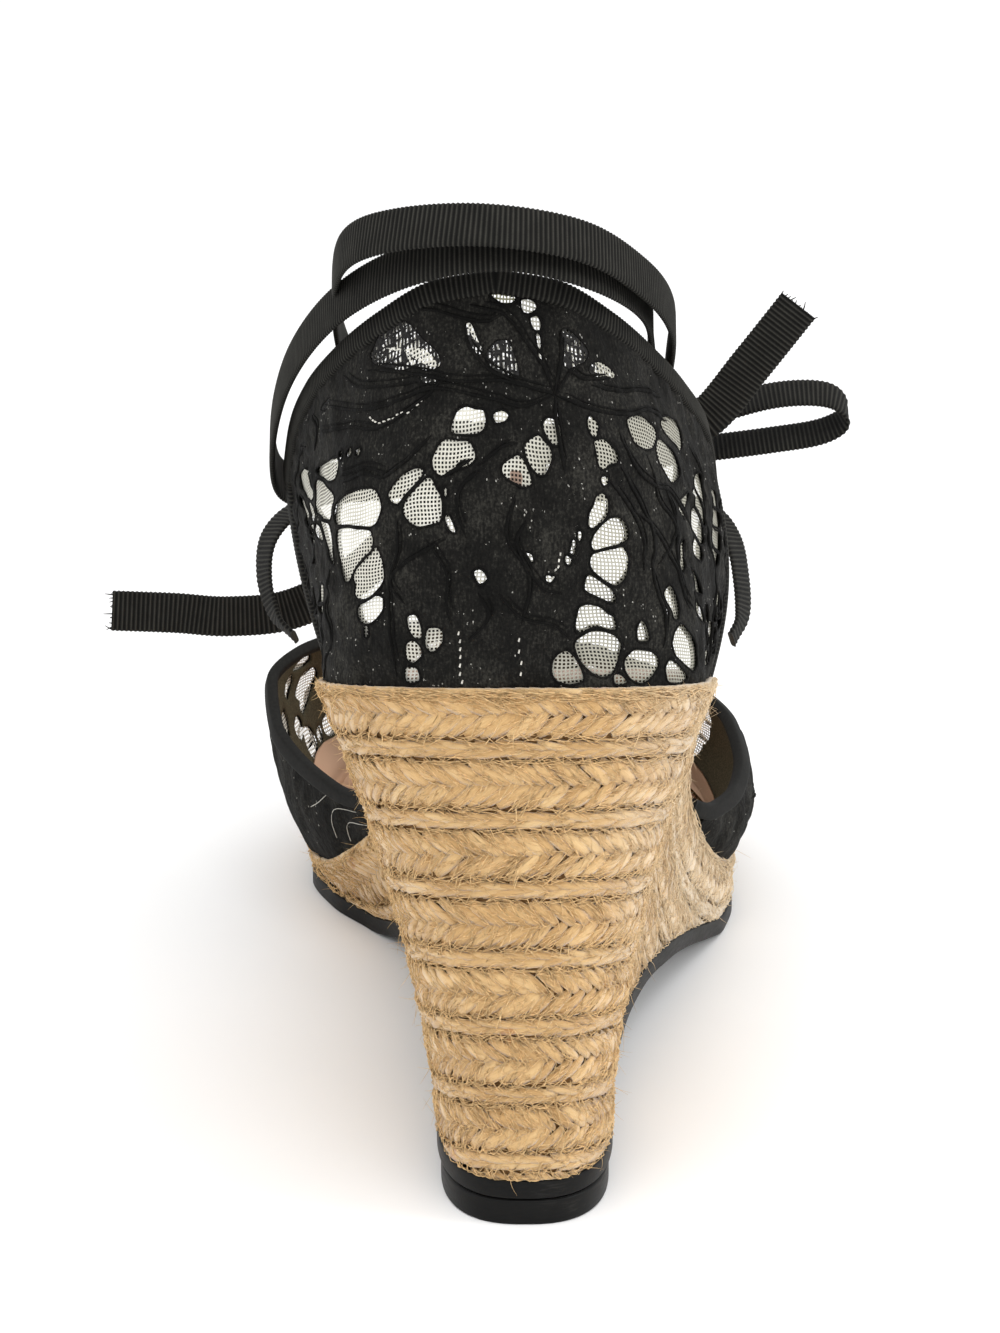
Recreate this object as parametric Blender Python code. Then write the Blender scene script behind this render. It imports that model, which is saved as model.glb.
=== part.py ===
"""Lace wedge pump with an ankle tie: right shoe, metres, +Y to the toe, +X to the outer side, +Z up.

The origin is the centre of the heel lift's bottom face.  Every solid is a loft through sections that are
worked out from the tables below; lengths in the tables are millimetres.
"""
import math

import bpy
import numpy as np
from mathutils import Vector

MM = 0.001
GAP = 0.3                    # clearance between touching solids
TAPE_GAP = 0.5               # clearance between a wall and the tape on its edge
FOOT_GAP = 0.5               # clearance between a wall's foot and the wedge

# driving dimensions of the last and sole
SEAT_BACK_Y = -27.0          # back of the seat, measured from the lift's centre
HEEL_CAP_Y = 2.0             # where the rounded heel end begins
TOE_CAP_Y = 144.0            # where the rounded toe end begins
TOE_TIP_Y = 203.0
TOE_DRIFT = -5.0             # the tip lies towards the inner side
HEEL_RAKE = 3.0              # the heel's foot stands this much further forward than the seat
HEEL_LEAN = -2.2             # the seat lies this much towards the inner side of the lift
HEEL_SQUARENESS = 0.78       # exponent of the rounded heel end
TOE_FULLNESS = (1.0, 1.06)   # exponents along and across the toe end
SIDE_FLARE = 1.6             # how late the wedge's sides open out towards the seat

LIFT_THICKNESS = 4.7
LIFT_BACK_Y = -24.0
LIFT_FRONT_Y = 24.0
LIFT_HALF_WIDTH = 15.2
OUTSOLE_THICKNESS = 3.5
OUTSOLE_LEDGE = 0.2          # the sheet shows this much beyond the braid
INSOLE_THICKNESS = 2.2
INSOLE_INSET = 4.6

# braid: wide plaits with a thin cord between them, wrapped parallel to the seat
WIDE_BAND = 8.1
THIN_BAND = 4.3
BAND_PAIRS = 9
WIDE_SWELL = 1.3
THIN_SWELL = 0.8

# upper
WALL = 1.5
UPPER_INSET = -0.3           # the wall stands this much inside the braid's edge
BINDING_WIDTH = 4.2
BINDING_THICKNESS = 2.6
VAMP_BINDING_WIDTH = 3.4

# ribbon
RIBBON_WIDTH = 8.0
RIBBON_THICKNESS = 1.0

# y, height of the wedge's top, height of the sole's underside,
# half widths at the top and at the foot, on the outer and the inner side
SOLE_COLUMNS = ("y", "top", "under", "top_outer", "top_inner", "foot_outer", "foot_inner")
SOLE_ROWS = (
    (-27, 100.7, 5.0, 34.8, 34.2, 15.8, 15.8),
    (0, 92.8, 5.0, 35.0, 34.4, 15.8, 15.8),
    (25, 84.6, 5.0, 36.0, 34.4, 16.4, 15.8),
    (45, 74.6, 9.6, 35.4, 34.0, 19.4, 16.6),
    (62, 61.5, 10.6, 33.2, 31.8, 23.6, 17.6),
    (78, 45.6, 9.2, 32.2, 29.4, 28.8, 19.2),
    (92, 31.4, 6.2, 34.4, 29.6, 33.2, 21.6),
    (105, 20.6, 2.6, 38.2, 35.4, 37.6, 25.4),
    (116, 14.4, 0.0, 41.8, 40.4, 41.0, 31.0),
    (128, 12.2, 0.0, 43.4, 43.4, 43.0, 38.6),
    (144, 12.0, 0.0, 42.4, 44.0, 42.2, 43.4),
    (150, 12.0, 0.0, 42.4, 44.0, 42.2, 43.4),
    (166, 12.6, 0.6, 42.4, 44.0, 42.2, 43.4),
    (186, 15.4, 3.4, 42.4, 44.0, 42.2, 43.4),
    (203, 19.6, 7.6, 42.4, 44.0, 42.2, 43.4),
)

# collar from the middle of the back to the front corner: the share of the way round,
# its place lengthways, its height, and its distance from the middle on either side
COLLAR_COLUMNS = ("share", "y", "z", "outer", "inner")
COLLAR_ROWS = (
    (0.00, -17.0, 172.4, 0.0, 0.0),
    (0.14, -15.4, 170.2, 9.6, 9.8),
    (0.28, -9.6, 163.4, 18.4, 18.8),
    (0.43, 0.0, 154.6, 25.6, 26.4),
    (0.60, 12.0, 145.0, 31.6, 32.0),
    (0.80, 26.0, 134.0, 36.2, 35.6),
    (1.00, 38.5, 121.5, 37.8, 37.6),
)
COLLAR_DRIFT = -5.2          # the collar's middle, towards the inner side
COUNTER_FRONT_Y = 46.0       # where the counter ends along the sole
COUNTER_BACK_SWELL = 7.0
COUNTER_SIDE_SWELL = {1: 3.6, -1: 1.6}   # outer and inner side

# topline of the vamp from the wing's end to the middle of the throat
TOPLINE_COLUMNS = ("share", "y", "z", "outer", "inner")
TOPLINE_ROWS = (
    (0.00, 92.0, 37.6, 34.6, 29.4),
    (0.08, 101.0, 35.2, 38.6, 35.6),
    (0.19, 113.0, 35.0, 42.4, 42.2),
    (0.31, 127.0, 37.4, 44.4, 48.2),
    (0.44, 140.0, 41.4, 42.6, 49.6),
    (0.56, 150.0, 44.2, 36.5, 44.0),
    (0.70, 156.5, 46.4, 25.5, 31.0),
    (0.84, 159.5, 47.6, 13.0, 15.5),
    (1.00, 160.5, 48.0, 0.0, 0.0),
)
TOPLINE_TILT = 4.6           # the inner side of the topline stands higher than the outer by twice this
TOPLINE_DRIFT = -1.0
VAMP_BACK_Y = 91.0
VAMP_SIDE_SWELL = {1: 5.2, -1: 5.8}      # outer and inner side
SIDE_ARCH, TOE_ARCH = 40.0, 82.0   # degrees that the wall bends through from foot to topline
VAMP_WALL_SHARE = 0.955      # the wall stops short of the wings' tips, which are binding alone

# middle of the ribbon's two turns round the ankle, from the knot by the inner side and the back
TIE_COLUMNS = ("x", "y", "z")
TIE_ROWS = (
    (-9.4, 64, 112), (-20, 62, 112.5), (-33, 55, 113.5), (-43.9, 44, 117), (-45.2, 32, 129.5),
    (-41, 14, 147.4), (-32, -4, 163), (-19, -18.5, 173.6), (-3.5, -22.4, 177), (11, -17.4, 172.4),
    (20, -2.2, 163), (21.8, 13.6, 151), (22.2, 29, 137.4), (16, 44, 126), (2, 53, 121.5), (-14, 52, 123),
    (-26, 41, 131), (-31.5, 24, 146), (-33, 8, 160), (-31, -8, 173), (-22.5, -19, 179.5),
    (-6.8, -24.5, 181.8), (9.3, -20.5, 178), (19.6, -9.5, 169), (24.9, 4, 159), (25.4, 21, 146.5),
    (23.6, 42, 127), (15, 57, 118), (5.4, 61.5, 114),
)
KNOT_PLACE = (-2.0, 68.5, 112.0)
KNOT_SIZE = (14.0, 13.0, 15.0)
KNOT_SQUARENESS = 4          # power of the rounded box that the knot is pressed to

STRAND_ROWS = {              # slack strands from the counter's front edges up to the knot
    "tie_strand_inner": ((-42.6, 51.5, 84.5), (-46.4, 54, 88), (-48.4, 57, 94.5), (-47.4, 60, 101.5),
                         (-41.5, 64.5, 106), (-30, 68, 107.5), (-9.4, 69, 106)),
    "tie_strand_outer": ((38.6, 51.5, 84), (40.6, 54, 88), (40.4, 57, 94.5), (38.8, 60, 101),
                         (34, 64.5, 105.5), (23, 68, 107), (5.4, 69, 106)),
}
BOW_ROWS = {                 # loops out of the knot and back into it
    "bow_loop_outer": ((5.4, 71, 116), (20, 72, 118), (34, 72, 121.8), (47, 72, 125.4), (57, 72, 125.4),
                       (60.4, 72, 121.6), (56, 72, 118.4), (46, 72, 116.6), (34, 72, 115), (20, 72.5, 113),
                       (5.4, 73, 111)),
}
END_ROWS = {                 # which way each free end's face looks, and its points
    "tie_end_outer": ((0, -1, 0), ((5.4, 65, 116.5), (16, 65, 118.6), (26, 63.5, 120.2), (34, 63.5, 123.6),
                                   (42, 64, 133.5), (50.6, 65, 144.5))),
    "tie_end_inner": ((0, -1, 0), ((-9.4, 74.4, 109.5), (-20, 75, 100.5), (-32, 75, 89), (-44, 73.5, 82.8),
                                   (-56, 72, 81.8), (-66, 71, 82.8), (-78, 70, 83.6))),
}
LOOP_ACROSS = (0.0, 1.0, 0.35)
STRAND_ACROSS = (0.0, 1.0, -0.2)
TIE_ACROSS = (0.0, 0.67, 0.74)   # the turns narrow upwards like the ankle
BINDING_CORNER = 1.2

COLOURS = {
    "rubber": ((0.012, 0.012, 0.013, 1), 0.45),
    "jute": ((0.60, 0.38, 0.18, 1), 0.95),
    "tan_leather": ((0.62, 0.36, 0.22, 1), 0.55),
    "black_lace": ((0.016, 0.016, 0.017, 1), 0.9),
    "black_ribbon": ((0.012, 0.012, 0.013, 1), 0.8),
}


def new_collection(name):
    collection = bpy.data.collections.new(name)
    bpy.context.scene.collection.children.link(collection)
    return collection


def start_scene():
    for thing in list(bpy.data.objects):
        bpy.data.objects.remove(thing, do_unlink=True)
    return new_collection("lace_wedge_pump"), new_collection("cutters")


def finish(name):
    colour, roughness = COLOURS[name]
    material = bpy.data.materials.get(name) or bpy.data.materials.new(name)
    material.use_nodes = True
    shader = material.node_tree.nodes["Principled BSDF"]
    shader.inputs["Base Color"].default_value = colour
    shader.inputs["Roughness"].default_value = roughness
    shader.inputs["Metallic"].default_value = 0.0
    material.diffuse_color = colour
    return material


def column(rows, names, key, at, along):
    """One named column of a table, read by a monotone cubic through its rows."""
    x = np.array([row[names.index(along)] for row in rows], float)
    y = np.array([row[names.index(key)] for row in rows], float)
    step = np.diff(x)
    slope = np.diff(y) / step
    tangent = np.zeros_like(y)
    tangent[0], tangent[-1] = slope[0], slope[-1]
    same = slope[:-1] * slope[1:] > 0
    w1 = 2 * step[1:] + step[:-1]
    w2 = step[1:] + 2 * step[:-1]
    with np.errstate(divide="ignore", invalid="ignore"):
        mean = (w1 + w2) / (w1 / slope[:-1] + w2 / slope[1:])
    tangent[1:-1] = np.where(same, mean, 0.0)
    at = np.asarray(at, float)
    i = np.clip(np.searchsorted(x, at) - 1, 0, len(x) - 2)
    t = np.clip((at - x[i]) / step[i], 0, 1)
    h00, h10 = (1 + 2 * t) * (1 - t) ** 2, t * (1 - t) ** 2
    h01, h11 = t * t * (3 - 2 * t), t * t * (t - 1)
    return h00 * y[i] + h10 * step[i] * tangent[i] + h01 * y[i + 1] + h11 * step[i] * tangent[i + 1]


def sole(key, y):
    return column(SOLE_ROWS, SOLE_COLUMNS, key, y, "y")


def stations():
    """Places along the sole and how much of the full width each has, closer together at both round ends."""
    turn = np.radians(np.linspace(6, 78, 6))
    heel_y = HEEL_CAP_Y - (HEEL_CAP_Y - SEAT_BACK_Y) * np.cos(turn) ** HEEL_SQUARENESS
    heel_width = np.sin(turn) ** HEEL_SQUARENESS
    middle_y = np.concatenate([np.arange(HEEL_CAP_Y, 110, 8.0), np.arange(114, TOE_CAP_Y + 1, 9.0)])
    turn = np.radians(np.linspace(12, 84, 7))
    along, across = TOE_FULLNESS
    toe_y = TOE_CAP_Y + (TOE_TIP_Y - TOE_CAP_Y) * np.sin(turn) ** along
    toe_width = np.cos(turn) ** across
    y = np.concatenate([heel_y, middle_y, toe_y])
    width = np.concatenate([heel_width, np.ones(len(middle_y)), toe_width])
    return y, width


STATION_Y, STATION_WIDTH = stations()
FOOTBED = sole("top", STATION_Y)
UNDERSIDE = sole("under", STATION_Y)


def footbed(y):
    return np.interp(y, STATION_Y, FOOTBED)


def underside(y):
    return np.interp(y, STATION_Y, UNDERSIDE)


def outline(side, height_share, inset=0.0):
    """Plan of the sole at a share of its height (0 foot, 1 top): one x, y for each station.

    side is +1 for the outer and -1 for the inner edge.
    """
    edge = "outer" if side > 0 else "inner"
    share = np.clip(height_share, 0, 1)
    wide, narrow = sole("top_" + edge, STATION_Y), sole("foot_" + edge, STATION_Y)
    half = narrow + (wide - narrow) * share ** SIDE_FLARE
    heel_fade = np.clip(1 - STATION_Y / 60, 0, 1) ** 2 * (STATION_Y > HEEL_CAP_Y) + (STATION_Y <= HEEL_CAP_Y)
    toe_fade = np.clip((STATION_Y - TOE_CAP_Y) / (TOE_TIP_Y - TOE_CAP_Y), 0, 1) ** 2
    lean = HEEL_LEAN * share * np.clip(1 - STATION_Y / 90, 0, 1) + TOE_DRIFT * toe_fade
    x = side * half * STATION_WIDTH + lean
    y = STATION_Y + HEEL_RAKE * (1 - share) * heel_fade
    if inset:
        along = np.stack([np.gradient(x), np.gradient(y)])
        along /= np.linalg.norm(along, axis=0)
        x, y = x - side * inset * along[1], y + side * inset * along[0]
    return x, y


def add_mesh(name, points, faces, colour, collection):
    mesh = bpy.data.meshes.new(name)
    mesh.from_pydata([tuple(float(v) * MM for v in p) for p in points], [], faces)
    mesh.validate()
    mesh.materials.append(finish(colour))
    thing = bpy.data.objects.new(name, mesh)
    collection.objects.link(thing)
    return thing


def loft(name, sections, colour, collection):
    """Closed body through sections of equal length (sections, points, 3).

    Each end is closed by rungs between the point of one side and its partner on the other.
    """
    sections = np.asarray(sections, float)
    count, size = sections.shape[:2]
    faces = []
    for i in range(count - 1):
        for j in range(size):
            k = (j + 1) % size
            faces.append((i * size + j, i * size + k, (i + 1) * size + k, (i + 1) * size + j))
    far = (count - 1) * size
    for j in range(size // 2 - 1):
        near_rung = (j, j + 1, size - 2 - j, size - 1 - j)
        faces.append(near_rung[::-1])
        faces.append(tuple(far + corner for corner in near_rung))
    thing = add_mesh(name, sections.reshape(-1, 3), faces, colour, collection)
    face_outwards(thing.data)
    return thing


def face_outwards(mesh):
    """Turn every face over if the body's signed volume is negative."""
    mesh.calc_loop_triangles()
    corners = np.array([[mesh.vertices[v].co[:] for v in t.vertices] for t in mesh.loop_triangles])
    volume = np.einsum("ij,ij->i", corners[:, 0], np.cross(corners[:, 1], corners[:, 2])).sum() / 6
    if volume < 0:
        mesh.flip_normals()


def slab(name, top, bottom, outer, inner, colour, collection):
    """A sheet whose section at each station is a four-cornered strip."""
    (ox, oy), (ix, iy) = outer, inner
    sections = [[(ox[i], oy[i], top(oy[i])), (ix[i], iy[i], top(iy[i])),
                 (ix[i], iy[i], bottom(iy[i])), (ox[i], oy[i], bottom(oy[i]))]
                for i in range(len(ox))]
    return loft(name, sections, colour, collection)


def make_lift(parts):
    """Heel top piece: straight sides and front, round back."""
    turn = np.radians(np.linspace(8, 90, 7))
    y = np.concatenate([-(-LIFT_BACK_Y) * np.cos(turn) ** HEEL_SQUARENESS, [8.0, 16.0, LIFT_FRONT_Y]])
    half = LIFT_HALF_WIDTH * np.concatenate([np.sin(turn) ** HEEL_SQUARENESS, [1.01, 1.03, 1.04]])
    return slab("heel_lift", lambda at: LIFT_THICKNESS, lambda at: 0.0, (half, y), (-half, y),
                "rubber", parts)


def make_outsole(parts):
    edges = [outline(side, 0.0, -OUTSOLE_LEDGE) for side in (1, -1)]
    return slab("outsole", lambda y: underside(y) + OUTSOLE_THICKNESS, underside, *edges, "rubber", parts)


def band_levels():
    """Depth below the footbed and outward swell of each line of the braid's section."""
    depth, levels = 0.0, [(0.0, 0.0)]
    for pair in range(BAND_PAIRS):
        levels += [(depth + 0.22 * WIDE_BAND, WIDE_SWELL), (depth + 0.78 * WIDE_BAND, WIDE_SWELL)]
        depth += WIDE_BAND
        levels += [(depth, 0.0), (depth + 0.5 * THIN_BAND, THIN_SWELL)]
        depth += THIN_BAND
        levels += [(depth, 0.0)]
    return levels


def make_wedge(parts, cutters):
    """Braid-wrapped wedge: lines parallel to the footbed, cut off along the outsole."""
    slope = np.hypot(1.0, np.gradient(FOOTBED, STATION_Y))
    sides = {1: [], -1: []}
    for depth, swell in band_levels():
        span = FOOTBED - UNDERSIDE - OUTSOLE_THICKNESS
        share = np.clip(1 - depth * slope / span, 0, 1)
        for side in sides:
            x, y = outline(side, share, WIDE_SWELL - swell)
            sides[side].append(np.stack([x, y, footbed(y) - depth * slope], axis=1))
    ring = np.concatenate([np.stack(sides[1], axis=1), np.stack(sides[-1], axis=1)[:, ::-1]], axis=1)
    wedge = loft("wedge", ring, "jute", parts)
    floor_y = np.concatenate([[SEAT_BACK_Y - 20], STATION_Y, [TOE_TIP_Y + 20]])
    floor_z = underside(floor_y) + OUTSOLE_THICKNESS + GAP
    reach = 80.0
    blocks = [[(reach, y, z), (-reach, y, z), (-reach, y, z - 200), (reach, y, z - 200)]
              for y, z in zip(floor_y, floor_z)]
    cutter = loft("underside_cutter", blocks, "jute", cutters)
    cutter.hide_render = True
    cutter.display_type = "WIRE"
    cut = wedge.modifiers.new("underside", "BOOLEAN")
    cut.operation, cut.solver, cut.object = "DIFFERENCE", "EXACT", cutter
    return wedge


def make_insole(parts):
    edges = [outline(side, 1.0, INSOLE_INSET) for side in (1, -1)]
    edges = [(x[1:-1], y[1:-1]) for x, y in edges]
    return slab("insole", lambda y: footbed(y) + GAP + INSOLE_THICKNESS, lambda y: footbed(y) + GAP, *edges,
                "tan_leather", parts)


def resample(points, count):
    """Evenly spaced points along a smooth curve through the given ones (Catmull-Rom)."""
    p = np.asarray(points, float)
    p = np.concatenate([[2 * p[0] - p[1]], p, [2 * p[-1] - p[-2]]])
    t = np.linspace(0, 1, 12, endpoint=False)[:, None]
    fine = [b + 0.5 * ((c - a) * t + (2 * a - 5 * b + 4 * c - d) * t ** 2 + (3 * b - a - 3 * c + d) * t ** 3)
            for a, b, c, d in zip(p, p[1:], p[2:], p[3:])]
    fine = np.concatenate(fine + [p[-2:-1]])
    run = np.concatenate([[0], np.cumsum(np.linalg.norm(np.diff(fine, axis=0), axis=1))])
    at = np.linspace(0, run[-1], count)
    return np.stack([np.interp(at, run, fine[:, k]) for k in range(3)], axis=1)


def half_line(side, inset):
    """Edge of the wedge's top from the middle of the heel to the middle of the toe: x, y and run."""
    x, y = outline(side, 1.0, inset)
    other_x, other_y = outline(-side, 1.0, inset)
    x = np.concatenate([[(x[0] + other_x[0]) / 2], x, [(x[-1] + other_x[-1]) / 2]])
    y = np.concatenate([[(y[0] + other_y[0]) / 2], y, [(y[-1] + other_y[-1]) / 2]])
    run = np.concatenate([[0], np.cumsum(np.hypot(np.diff(x), np.diff(y)))])
    return x, y, run


def feather(side, start_y, end_y, share):
    """Where the upper's wall meets the wedge, at shares of the way between two places along the sole."""
    x, y, run = half_line(side, WIDE_SWELL + UPPER_INSET + WALL / 2)
    start, end = np.interp([start_y, end_y], y, run)
    at = start + (end - start) * share
    return np.interp(at, run, x), np.interp(at, run, y)


def counter_point(s, q):
    """Heel quarter: s runs from the inner front edge (-1) round the back to the outer one (1), q up."""
    s, q = np.broadcast_arrays(np.asarray(s, float), np.asarray(q, float))
    share, outer = np.abs(s), s > 0
    foot_x, foot_y = np.where(outer, feather(1, SEAT_BACK_Y, COUNTER_FRONT_Y, share),
                              feather(-1, SEAT_BACK_Y, COUNTER_FRONT_Y, share))
    foot = np.stack([foot_x, foot_y, footbed(foot_y) + FOOT_GAP], axis=-1)
    collar = {key: column(COLLAR_ROWS, COLLAR_COLUMNS, key, share, "share") for key in COLLAR_COLUMNS[1:]}
    rim_x = COLLAR_DRIFT + np.where(outer, collar["outer"], -collar["inner"])
    rim = np.stack([rim_x, collar["y"], collar["z"]], axis=-1)
    back = np.cos(share * math.pi / 2) ** 2
    aside = np.where(outer, COUNTER_SIDE_SWELL[1], -COUNTER_SIDE_SWELL[-1]) * (1 - back)
    swell = np.stack([aside, -COUNTER_BACK_SWELL * back, np.zeros_like(back)], axis=-1)
    q = q[..., None]
    return foot + (rim - foot) * q + swell * np.sin(q * math.pi)


def vamp_point(s, q):
    """Toe piece: s runs from the inner wing's end (-1) round the toe to the outer wing's end (1), q up."""
    s, q = np.broadcast_arrays(np.asarray(s, float), np.asarray(q, float))
    share, outer = 1 - np.abs(s), s > 0
    foot_x, foot_y = np.where(outer, feather(1, VAMP_BACK_Y, TOE_TIP_Y, share),
                              feather(-1, VAMP_BACK_Y, TOE_TIP_Y, share))
    foot = np.stack([foot_x, foot_y, footbed(foot_y) + FOOT_GAP], axis=-1)
    line = {key: column(TOPLINE_ROWS, TOPLINE_COLUMNS, key, share, "share") for key in TOPLINE_COLUMNS[1:]}
    side = np.where(outer, 1, -1)
    tilt = TOPLINE_TILT * np.sin(math.pi * share) ** 0.7
    rim_x = TOPLINE_DRIFT + np.where(outer, line["outer"], -line["inner"])
    rim = np.stack([rim_x, line["y"], line["z"] - side * tilt], axis=-1)
    swell = np.where(outer, VAMP_SIDE_SWELL[1], VAMP_SIDE_SWELL[-1]) * np.sin(math.pi * share) ** 0.6
    swell = np.stack([side * swell, np.zeros_like(swell), np.zeros_like(swell)], axis=-1)
    q = q[..., None]
    turn = np.radians(SIDE_ARCH + (TOE_ARCH - SIDE_ARCH) * share[..., None] ** 1.5)
    flat, level = (1 - np.cos(q * turn)) / (1 - np.cos(turn)), np.sin(q * turn) / np.sin(turn)
    blend = np.concatenate([flat, flat, level], axis=-1)
    return foot + (rim - foot) * blend + swell * np.maximum(np.sin(q * math.pi), 0) ** 0.7


def squareness(surface, s, q, step=1e-3):
    """Sine of the angle at which the lines along s and along q cross."""
    across = surface(np.minimum(s + step, 1), q) - surface(np.maximum(s - step, -1), q)
    up = surface(s, np.minimum(q + step, 1)) - surface(s, np.maximum(q - step, 0))
    lengths = np.linalg.norm(across, axis=-1) * np.linalg.norm(up, axis=-1)
    return np.linalg.norm(np.cross(across, up), axis=-1) / lengths


def below_rim(surface, s, distance):
    """The q that lies a distance below the rim, square to it."""
    q = np.linspace(0, 1, 41)
    points = surface(np.asarray(s)[:, None], q[None, :])
    step = np.linalg.norm(np.diff(points, axis=1), axis=2)
    left = np.concatenate([np.cumsum(step[:, ::-1], axis=1)[:, ::-1], np.zeros((len(s), 1))], axis=1)
    along = distance / squareness(surface, np.asarray(s), np.full(len(s), 0.98))
    return np.array([np.interp(-reach, -row, q) for reach, row in zip(along, left)])


def from_edge(surface, distance, q=0.5):
    """The s that lies a distance behind the front edges, square to them, at a height q."""
    s = np.linspace(0, 1, 81)
    points = surface(s, np.full_like(s, q))
    left = np.linalg.norm(np.diff(points, axis=0), axis=1)[::-1].cumsum()[::-1]
    along = distance / float(squareness(surface, np.array(0.98), np.array(q)))
    return float(np.interp(-along, -np.append(left, 0), s))


def normals(grid):
    """Unit normals of a grid surface (columns, rows, 3)."""
    n = np.cross(np.gradient(grid, axis=0), np.gradient(grid, axis=1))
    return n / np.maximum(np.linalg.norm(n, axis=2, keepdims=True), 1e-9)


def shell(name, grid, thickness, colour, parts):
    """Closed wall: the grid moved half the thickness to either side, its foot laid on the wedge."""
    n = normals(grid)
    n[:, 0, 2] = 0
    n[:, 0] /= np.linalg.norm(n[:, 0], axis=1, keepdims=True)
    leaves = [grid + n * thickness / 2, grid - n * thickness / 2]
    for leaf in leaves:
        leaf[:, 0, 2] = footbed(leaf[:, 0, 1]) + FOOT_GAP
    cols, rows = grid.shape[:2]
    points = np.concatenate([leaf.reshape(-1, 3) for leaf in leaves])
    far = cols * rows
    faces = []
    for i in range(cols - 1):
        for j in range(rows - 1):
            a, b, c, d = i * rows + j, (i + 1) * rows + j, (i + 1) * rows + j + 1, i * rows + j + 1
            faces += [(a, b, c, d), (far + d, far + c, far + b, far + a)]
    rim = [i * rows for i in range(cols)] + [(cols - 1) * rows + j for j in range(1, rows)]
    rim += [i * rows + rows - 1 for i in range(cols - 2, -1, -1)] + [j for j in range(rows - 2, 0, -1)]
    faces += [(b, a, far + a, far + b) for a, b in zip(rim, rim[1:] + rim[:1])]
    thing = add_mesh(name, points, faces, colour, parts)
    face_outwards(thing.data)
    return thing


def surface_normal(surface, s, q, step=1e-3):
    across = surface(s + step, q) - surface(s - step, q)
    up = surface(s, np.minimum(q + step, 1)) - surface(s, q - step)
    n = np.cross(across, up)
    return n / np.linalg.norm(n, axis=-1, keepdims=True)


def strip(name, path, normal, width, thickness, colour, parts):
    """Flat band swept along a path: its face looks along the normal, its edges are chamfered."""
    tangent = np.gradient(path, axis=0)
    tangent /= np.linalg.norm(tangent, axis=1, keepdims=True)
    face = normal - tangent * np.sum(normal * tangent, axis=1, keepdims=True)
    face /= np.linalg.norm(face, axis=1, keepdims=True)
    across = np.cross(face, tangent)
    w, t, bevel = width / 2, thickness / 2, min(0.3 * thickness, 0.6)
    corners = ((-w, -t + bevel), (-w, t - bevel), (-w + bevel, t), (w - bevel, t),
               (w, t - bevel), (w, -t + bevel), (w - bevel, -t), (-w + bevel, -t))
    sections = np.stack([path + across * u + face * v for u, v in corners], axis=1)
    return loft(name, sections, colour, parts)


def make_counter(parts):
    edge = from_edge(counter_point, BINDING_WIDTH + TAPE_GAP)
    s = np.linspace(-edge, edge, 31)
    top = below_rim(counter_point, s, BINDING_WIDTH + TAPE_GAP)
    q = top[:, None] * np.linspace(0, 1, 8)[None, :]
    return shell("counter", counter_point(s[:, None], q), WALL, "black_lace", parts)


def make_counter_binding(parts):
    """Tape up one front edge, along the collar and down the other front edge."""
    middle = from_edge(counter_point, BINDING_WIDTH / 2)
    corner = from_edge(counter_point, BINDING_WIDTH / 2 + BINDING_CORNER)
    top_at = below_rim(counter_point, np.array([middle]), BINDING_WIDTH / 2 + BINDING_CORNER)[0]
    collar_s = np.linspace(-corner, corner, 29)
    collar_q = below_rim(counter_point, collar_s, BINDING_WIDTH / 2)
    edge_q = np.linspace(0, top_at, 7)
    turn = np.radians([30, 60])
    round_s = corner + (middle - corner) * np.cos(turn)
    round_q = top_at + (collar_q[-1] - top_at) * np.sin(turn)
    s = np.concatenate([np.full(7, -middle), -round_s, collar_s, round_s[::-1], np.full(7, middle)])
    q = np.concatenate([edge_q, round_q, collar_q, round_q[::-1], edge_q[::-1]])
    path = counter_point(s, q)
    normal = surface_normal(counter_point, s, q)
    highest = footbed(path[:, 1] - BINDING_WIDTH / 2) + 2 * GAP
    path[:, 2] = np.maximum(path[:, 2], highest)
    return strip("counter_binding", path, normal, BINDING_WIDTH, BINDING_THICKNESS, "black_ribbon", parts)


def make_vamp(parts):
    s = np.linspace(-VAMP_WALL_SHARE, VAMP_WALL_SHARE, 43)
    top = below_rim(vamp_point, s, VAMP_BINDING_WIDTH + TAPE_GAP)
    q = top[:, None] * np.linspace(0, 1, 8)[None, :]
    return shell("vamp", vamp_point(s[:, None], q), WALL, "black_lace", parts)


def make_vamp_binding(parts):
    s = np.linspace(-1, 1, 45)
    q = below_rim(vamp_point, s, VAMP_BINDING_WIDTH / 2)
    inner_s = np.clip(s, -1 + 1e-3, 1 - 1e-3)
    normal = surface_normal(vamp_point, inner_s, q)
    return strip("vamp_binding", vamp_point(s, q), normal, VAMP_BINDING_WIDTH, BINDING_THICKNESS,
                 "black_ribbon", parts)


def make_knot(parts):
    """Soft knot: a ball pressed to a rounded box, the size of two crossed turns of ribbon."""
    bpy.ops.mesh.primitive_uv_sphere_add(segments=14, ring_count=8, radius=1.0)
    knot = bpy.context.object
    knot.name = knot.data.name = "bow_knot"
    size = Vector(KNOT_SIZE) * MM / 2
    for vertex in knot.data.vertices:
        reach = sum(abs(v) ** KNOT_SQUARENESS for v in vertex.co) ** (1 / KNOT_SQUARENESS)
        vertex.co = Vector([a / reach * b for a, b in zip(vertex.co, size)]) + Vector(KNOT_PLACE) * MM
    knot.data.materials.append(finish("black_ribbon"))
    for collection in knot.users_collection:
        collection.objects.unlink(knot)
    parts.objects.link(knot)
    return knot


def make_free_ribbon(name, rows, face, parts):
    """Free stretch of ribbon through its own points; its face starts along face and keeps to it."""
    path = resample(rows, 26)
    return strip(name, path, np.tile(np.array(face, float), (len(path), 1)), RIBBON_WIDTH, RIBBON_THICKNESS,
                 "black_ribbon", parts)


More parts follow.
